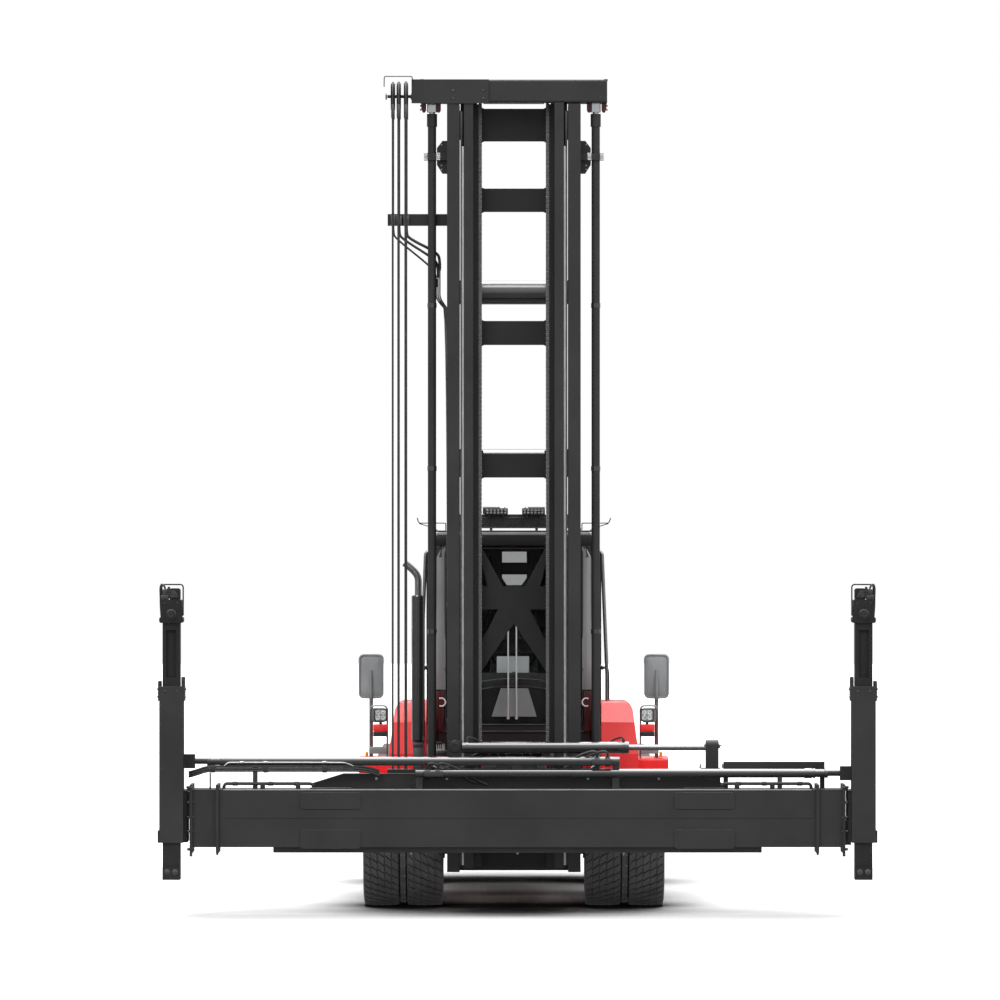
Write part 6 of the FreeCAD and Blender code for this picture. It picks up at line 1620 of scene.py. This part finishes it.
def dressLamps():
    x, low, high, front = lamp["x"], lamp["low"], lamp["high"], lamp["front"]
    middle = (low + high) / 2
    at, face = pointsFrom(x, front, 0), pointsFrom(x, front, middle)
    bm = bmesh.new()
    addLoft(bm, [roundRing("y", y, (x - wide, middle - wide), (x + wide, middle + wide), corner)
                 for y, wide, corner in ((front + 0.07, 0.046, 0.02), (front + 0.03, 0.055, 0.024),
                                         (front + 0.001, 0.058, 0.024), (front - 0.006, 0.056, 0.023),
                                         (front - 0.006, 0.049, 0.02), (front + 0.004, 0.047, 0.018))])
    for z in (1.597, 1.583):
        addBox(bm, at(-0.012, 0.01, z - 0.012), at(0.012, 0.03, z + 0.02), 0.003)
    addMirrored(bm)
    finishPiece("lampBodies", bm, "lampHousing", "root")
    bm = bmesh.new()
    for across in (-0.022, 0.022):
        for up in (-0.022, 0.022):
            addTurned(bm, [(0.003, 0.0), (0.002, 0.006), (-0.002, 0.014), (-0.006, 0.0205), (-0.002, 0.0205),
                           (0.004, 0.0)], face(across, 0.002, up), "y", 20)
    addMirrored(bm)
    finishPiece("lampReflectors", bm, "warnWhite", "root")
    bm = bmesh.new()
    addLoft(bm, [roundRing("y", y, (x - 0.047, middle - 0.047), (x + 0.047, middle + 0.047), 0.018)
                 for y in (front - 0.0075, front - 0.0105)])
    addMirrored(bm)
    finishPiece("lampLenses", bm, "lampGlass", "root")
    bm = bmesh.new()
    addBox(bm, at(-0.06, 0.002, 1.52), at(0.064, 0.04, 1.584), 0.008)
    addMirrored(bm)
    finishPiece("sideReflectors", bm, "bodyRed", "root")
    bm = bmesh.new()
    addBox(bm, at(-0.06, 0.008, 1.478), at(0.064, 0.04, 1.52), 0.004)
    for i in range(8):
        for z in (1.488, 1.502):
            addBox(bm, at(-0.053 + i * 0.0145, 0.003, z), at(-0.044 + i * 0.0145, 0.012, z + 0.009), 0.001, 1)
    addMirrored(bm)
    finishPiece("lampGrilles", bm, "lampHousing", "root")
    bm = bmesh.new()
    addBox(bm, (1.1, front + 0.01, 1.327), (1.256, front + 0.05, 1.388), 0.006)
    addMirrored(bm)
    finishPiece("markerPlates", bm, "plateGrey", "root")
    bm = bmesh.new()
    addLoft(bm, [roundRing("x", along, (front + 0.01, 1.298), (front + 0.05, 1.345), 0.012)
                 for along in (1.262, 1.288)])
    addMirrored(bm)
    finishPiece("markerLights", bm, "amberGlass", "root")


fitExhaust()
dressRails()
dressMirrors()
dressLamps()
print("exhaust, rails, mirrors and lamps done")


# chassis, deck and rear weight

weight = {"cuts": (0.95, 1.15, 1.3, 1.42, 1.55), "highFrom": 1.3, "highTo": 1.62,
          "halves": ((0.95, 1.19), (1.15, 1.15), (1.3, 1.12), (1.42, 1.07), (1.55, 0.98), (1.62, 0.9))}


def fitWeight():
    # the casting's shoulders lean in and its top is lower than the plain solid's
    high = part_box("counterweight")[1]
    node = frame["nodes"]["counterweight"]
    bm = bmesh.new()
    bm.from_mesh(node.data)
    bm.transform(node.matrix_world)
    for height in weight["cuts"]:
        bmesh.ops.bisect_plane(bm, geom=list(bm.verts) + list(bm.edges) + list(bm.faces), plane_co=(0, 0, height),
                               plane_no=(0, 0, 1))
    start = weight["highFrom"]
    for v in bm.verts:
        if v.co.z > start:
            v.co.z = start + (v.co.z - start) * (weight["highTo"] - start) / (high.z - start)
        for (z0, half0), (z1, half1) in zip(weight["halves"], weight["halves"][1:]):
            if z0 < v.co.z <= z1 + 1e-4:
                half = half0 + (half1 - half0) * (v.co.z - z0) / (z1 - z0)
                v.co.x *= half / weight["halves"][0][1]
    bmesh.ops.dissolve_limit(bm, angle_limit=0.01, verts=bm.verts, edges=bm.edges)
    finishPiece("weightCasting", bm, "weightPaint", "root", ("counterweight",))
    bm = bmesh.new()
    for x in (0.55, 0.8):
        for z in (0.72, 1.05):
            addBolt(bm, (x, high.y, z), (0, 1, 0), 0.026)
    addPipe(bm, [(0.62, 2.62, weight["highTo"] - 0.01), (0.62, 2.62, 1.68), (0.62, 2.7, 1.71), (0.62, 2.78, 1.68),
                 (0.62, 2.78, weight["highTo"] - 0.01)], 0.014)
    addMirrored(bm)
    addRod(bm, (0, high.y - 0.09, 0.46), (0, high.y - 0.09, 0.8), 0.024, 24, None, 0.004)
    finishPiece("weightBolts", bm, "darkSteel", "root")
    bm = bmesh.new()
    for z0, z1 in ((1.16, 1.24), (1.26, 1.3)):
        addLoft(bm, [roundRing("y", y, (0.84, z0), (0.96, z1), 0.014) for y in (high.y - 0.12, high.y - 0.004)])
    addMirrored(bm)
    finishPiece("tailLamps", bm, "redGlass", "root")


def dressBody():
    bm = bmesh.new()
    for side, way in sides:
        low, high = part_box("side_tank_" + side)
        outer = high.x if way > 0 else low.x
        inner = outer - way * 0.12
        cap, rib = pointsFrom(inner, low.y, high.z), pointsFrom(outer, low.y, high.z, way)
        for y in (low.y + 0.2, high.y - 0.2):
            addBox(bm, (outer - way * 0.02, y - 0.02, low.z + 0.03), (outer + way * 0.004, y + 0.02, high.z - 0.03),
                   0.003)
        addRod(bm, cap(0, 0.35, -0.004), cap(0, 0.35, 0.03), 0.045, 28, None, 0.006)
        addRod(bm, cap(0, 0.35, 0.02), cap(0, 0.35, 0.042), 0.036, 12, None, 0.003)
        for i in range(9):
            addBox(bm, rib(-0.02, 0.52 + i * 0.045, -0.006), rib(-0.24, 0.535 + i * 0.045, 0.006), 0.002, 1)
    finishPiece("tankFittings", bm, "darkSteel", "root")
    bm = bmesh.new()
    for way in (-1, 1):
        for i in range(3):
            addBox(bm, (way * 0.6, -0.8 + i * 0.16, 1.262), (way * 1.1, -0.76 + i * 0.16, 1.27), 0.002, 1)
        for i in range(4):
            x = way * (0.626 + i * 0.016)
            addBox(bm, (x - 0.004, -2.078, 1.385), (x + 0.004, -2.06, 1.43), 0.001, 1)
        addBox(bm, (way * 0.62, -2.08, 1.42), (way * 0.69, -2.052, 1.442), 0.003)
    finishPiece("fenderCombs", bm, "trimPlastic", "root")
    bm = bmesh.new()
    low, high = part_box("engine_hood")
    for i in range(7):
        for way in (-1, 1):
            addBox(bm, (way * high.x - way * 0.006, 0.95 + i * 0.07, 1.42),
                   (way * high.x + way * 0.006, 0.985 + i * 0.07, 1.66), 0.003, 1)
    for way in (-1, 1):
        addBox(bm, (way * high.x, 1.95, 1.36), (way * (high.x + 0.016), 2.0, 1.44), 0.004)
    finishPiece("hoodLouvres", bm, "trimPlastic", "hood")


fitWeight()
dressBody()
print("rear weight and body done")


# strips and covers on the mast; the bright strips are a painted highlight for the lit outer sides of the inner rails

strips = {"near": 0.4285, "far": 0.4585, "low": 0.4, "padHigh": 6.86, "padLow": 6.56}


def dressRibs():
    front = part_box("inner_rail_left")[0].y
    near, far = pointsFrom(strips["near"], front, 0), pointsFrom(strips["far"], front, 0)
    # bright steel strips in the gap between outer and inner rails: painted highlight for the lit outer side faces of
    # the inner rails
    bm = bmesh.new()
    addBox(bm, near(0, -0.003, strips["low"]), far(0, 0.004, strips["padLow"]), 0.001, 1)
    addMirrored(bm)
    finishPiece("railSideHighlights", bm, "brightSteel", "inner_mast")
    bm = bmesh.new()
    addBox(bm, far(-0.014, -0.0045, strips["low"]), far(0, 0.004, strips["padLow"]), 0.001, 1)
    addMirrored(bm)
    finishPiece("guideEdges", bm, "darkSteel", "inner_mast")
    bm = bmesh.new()
    addBox(bm, near(0.013, -0.006, strips["padLow"]), far(0, 0.004, strips["padHigh"]), 0.002)
    addMirrored(bm)
    finishPiece("guidePads", bm, "trimPlastic", "inner_mast")


dressRibs()
print("mast strips done")
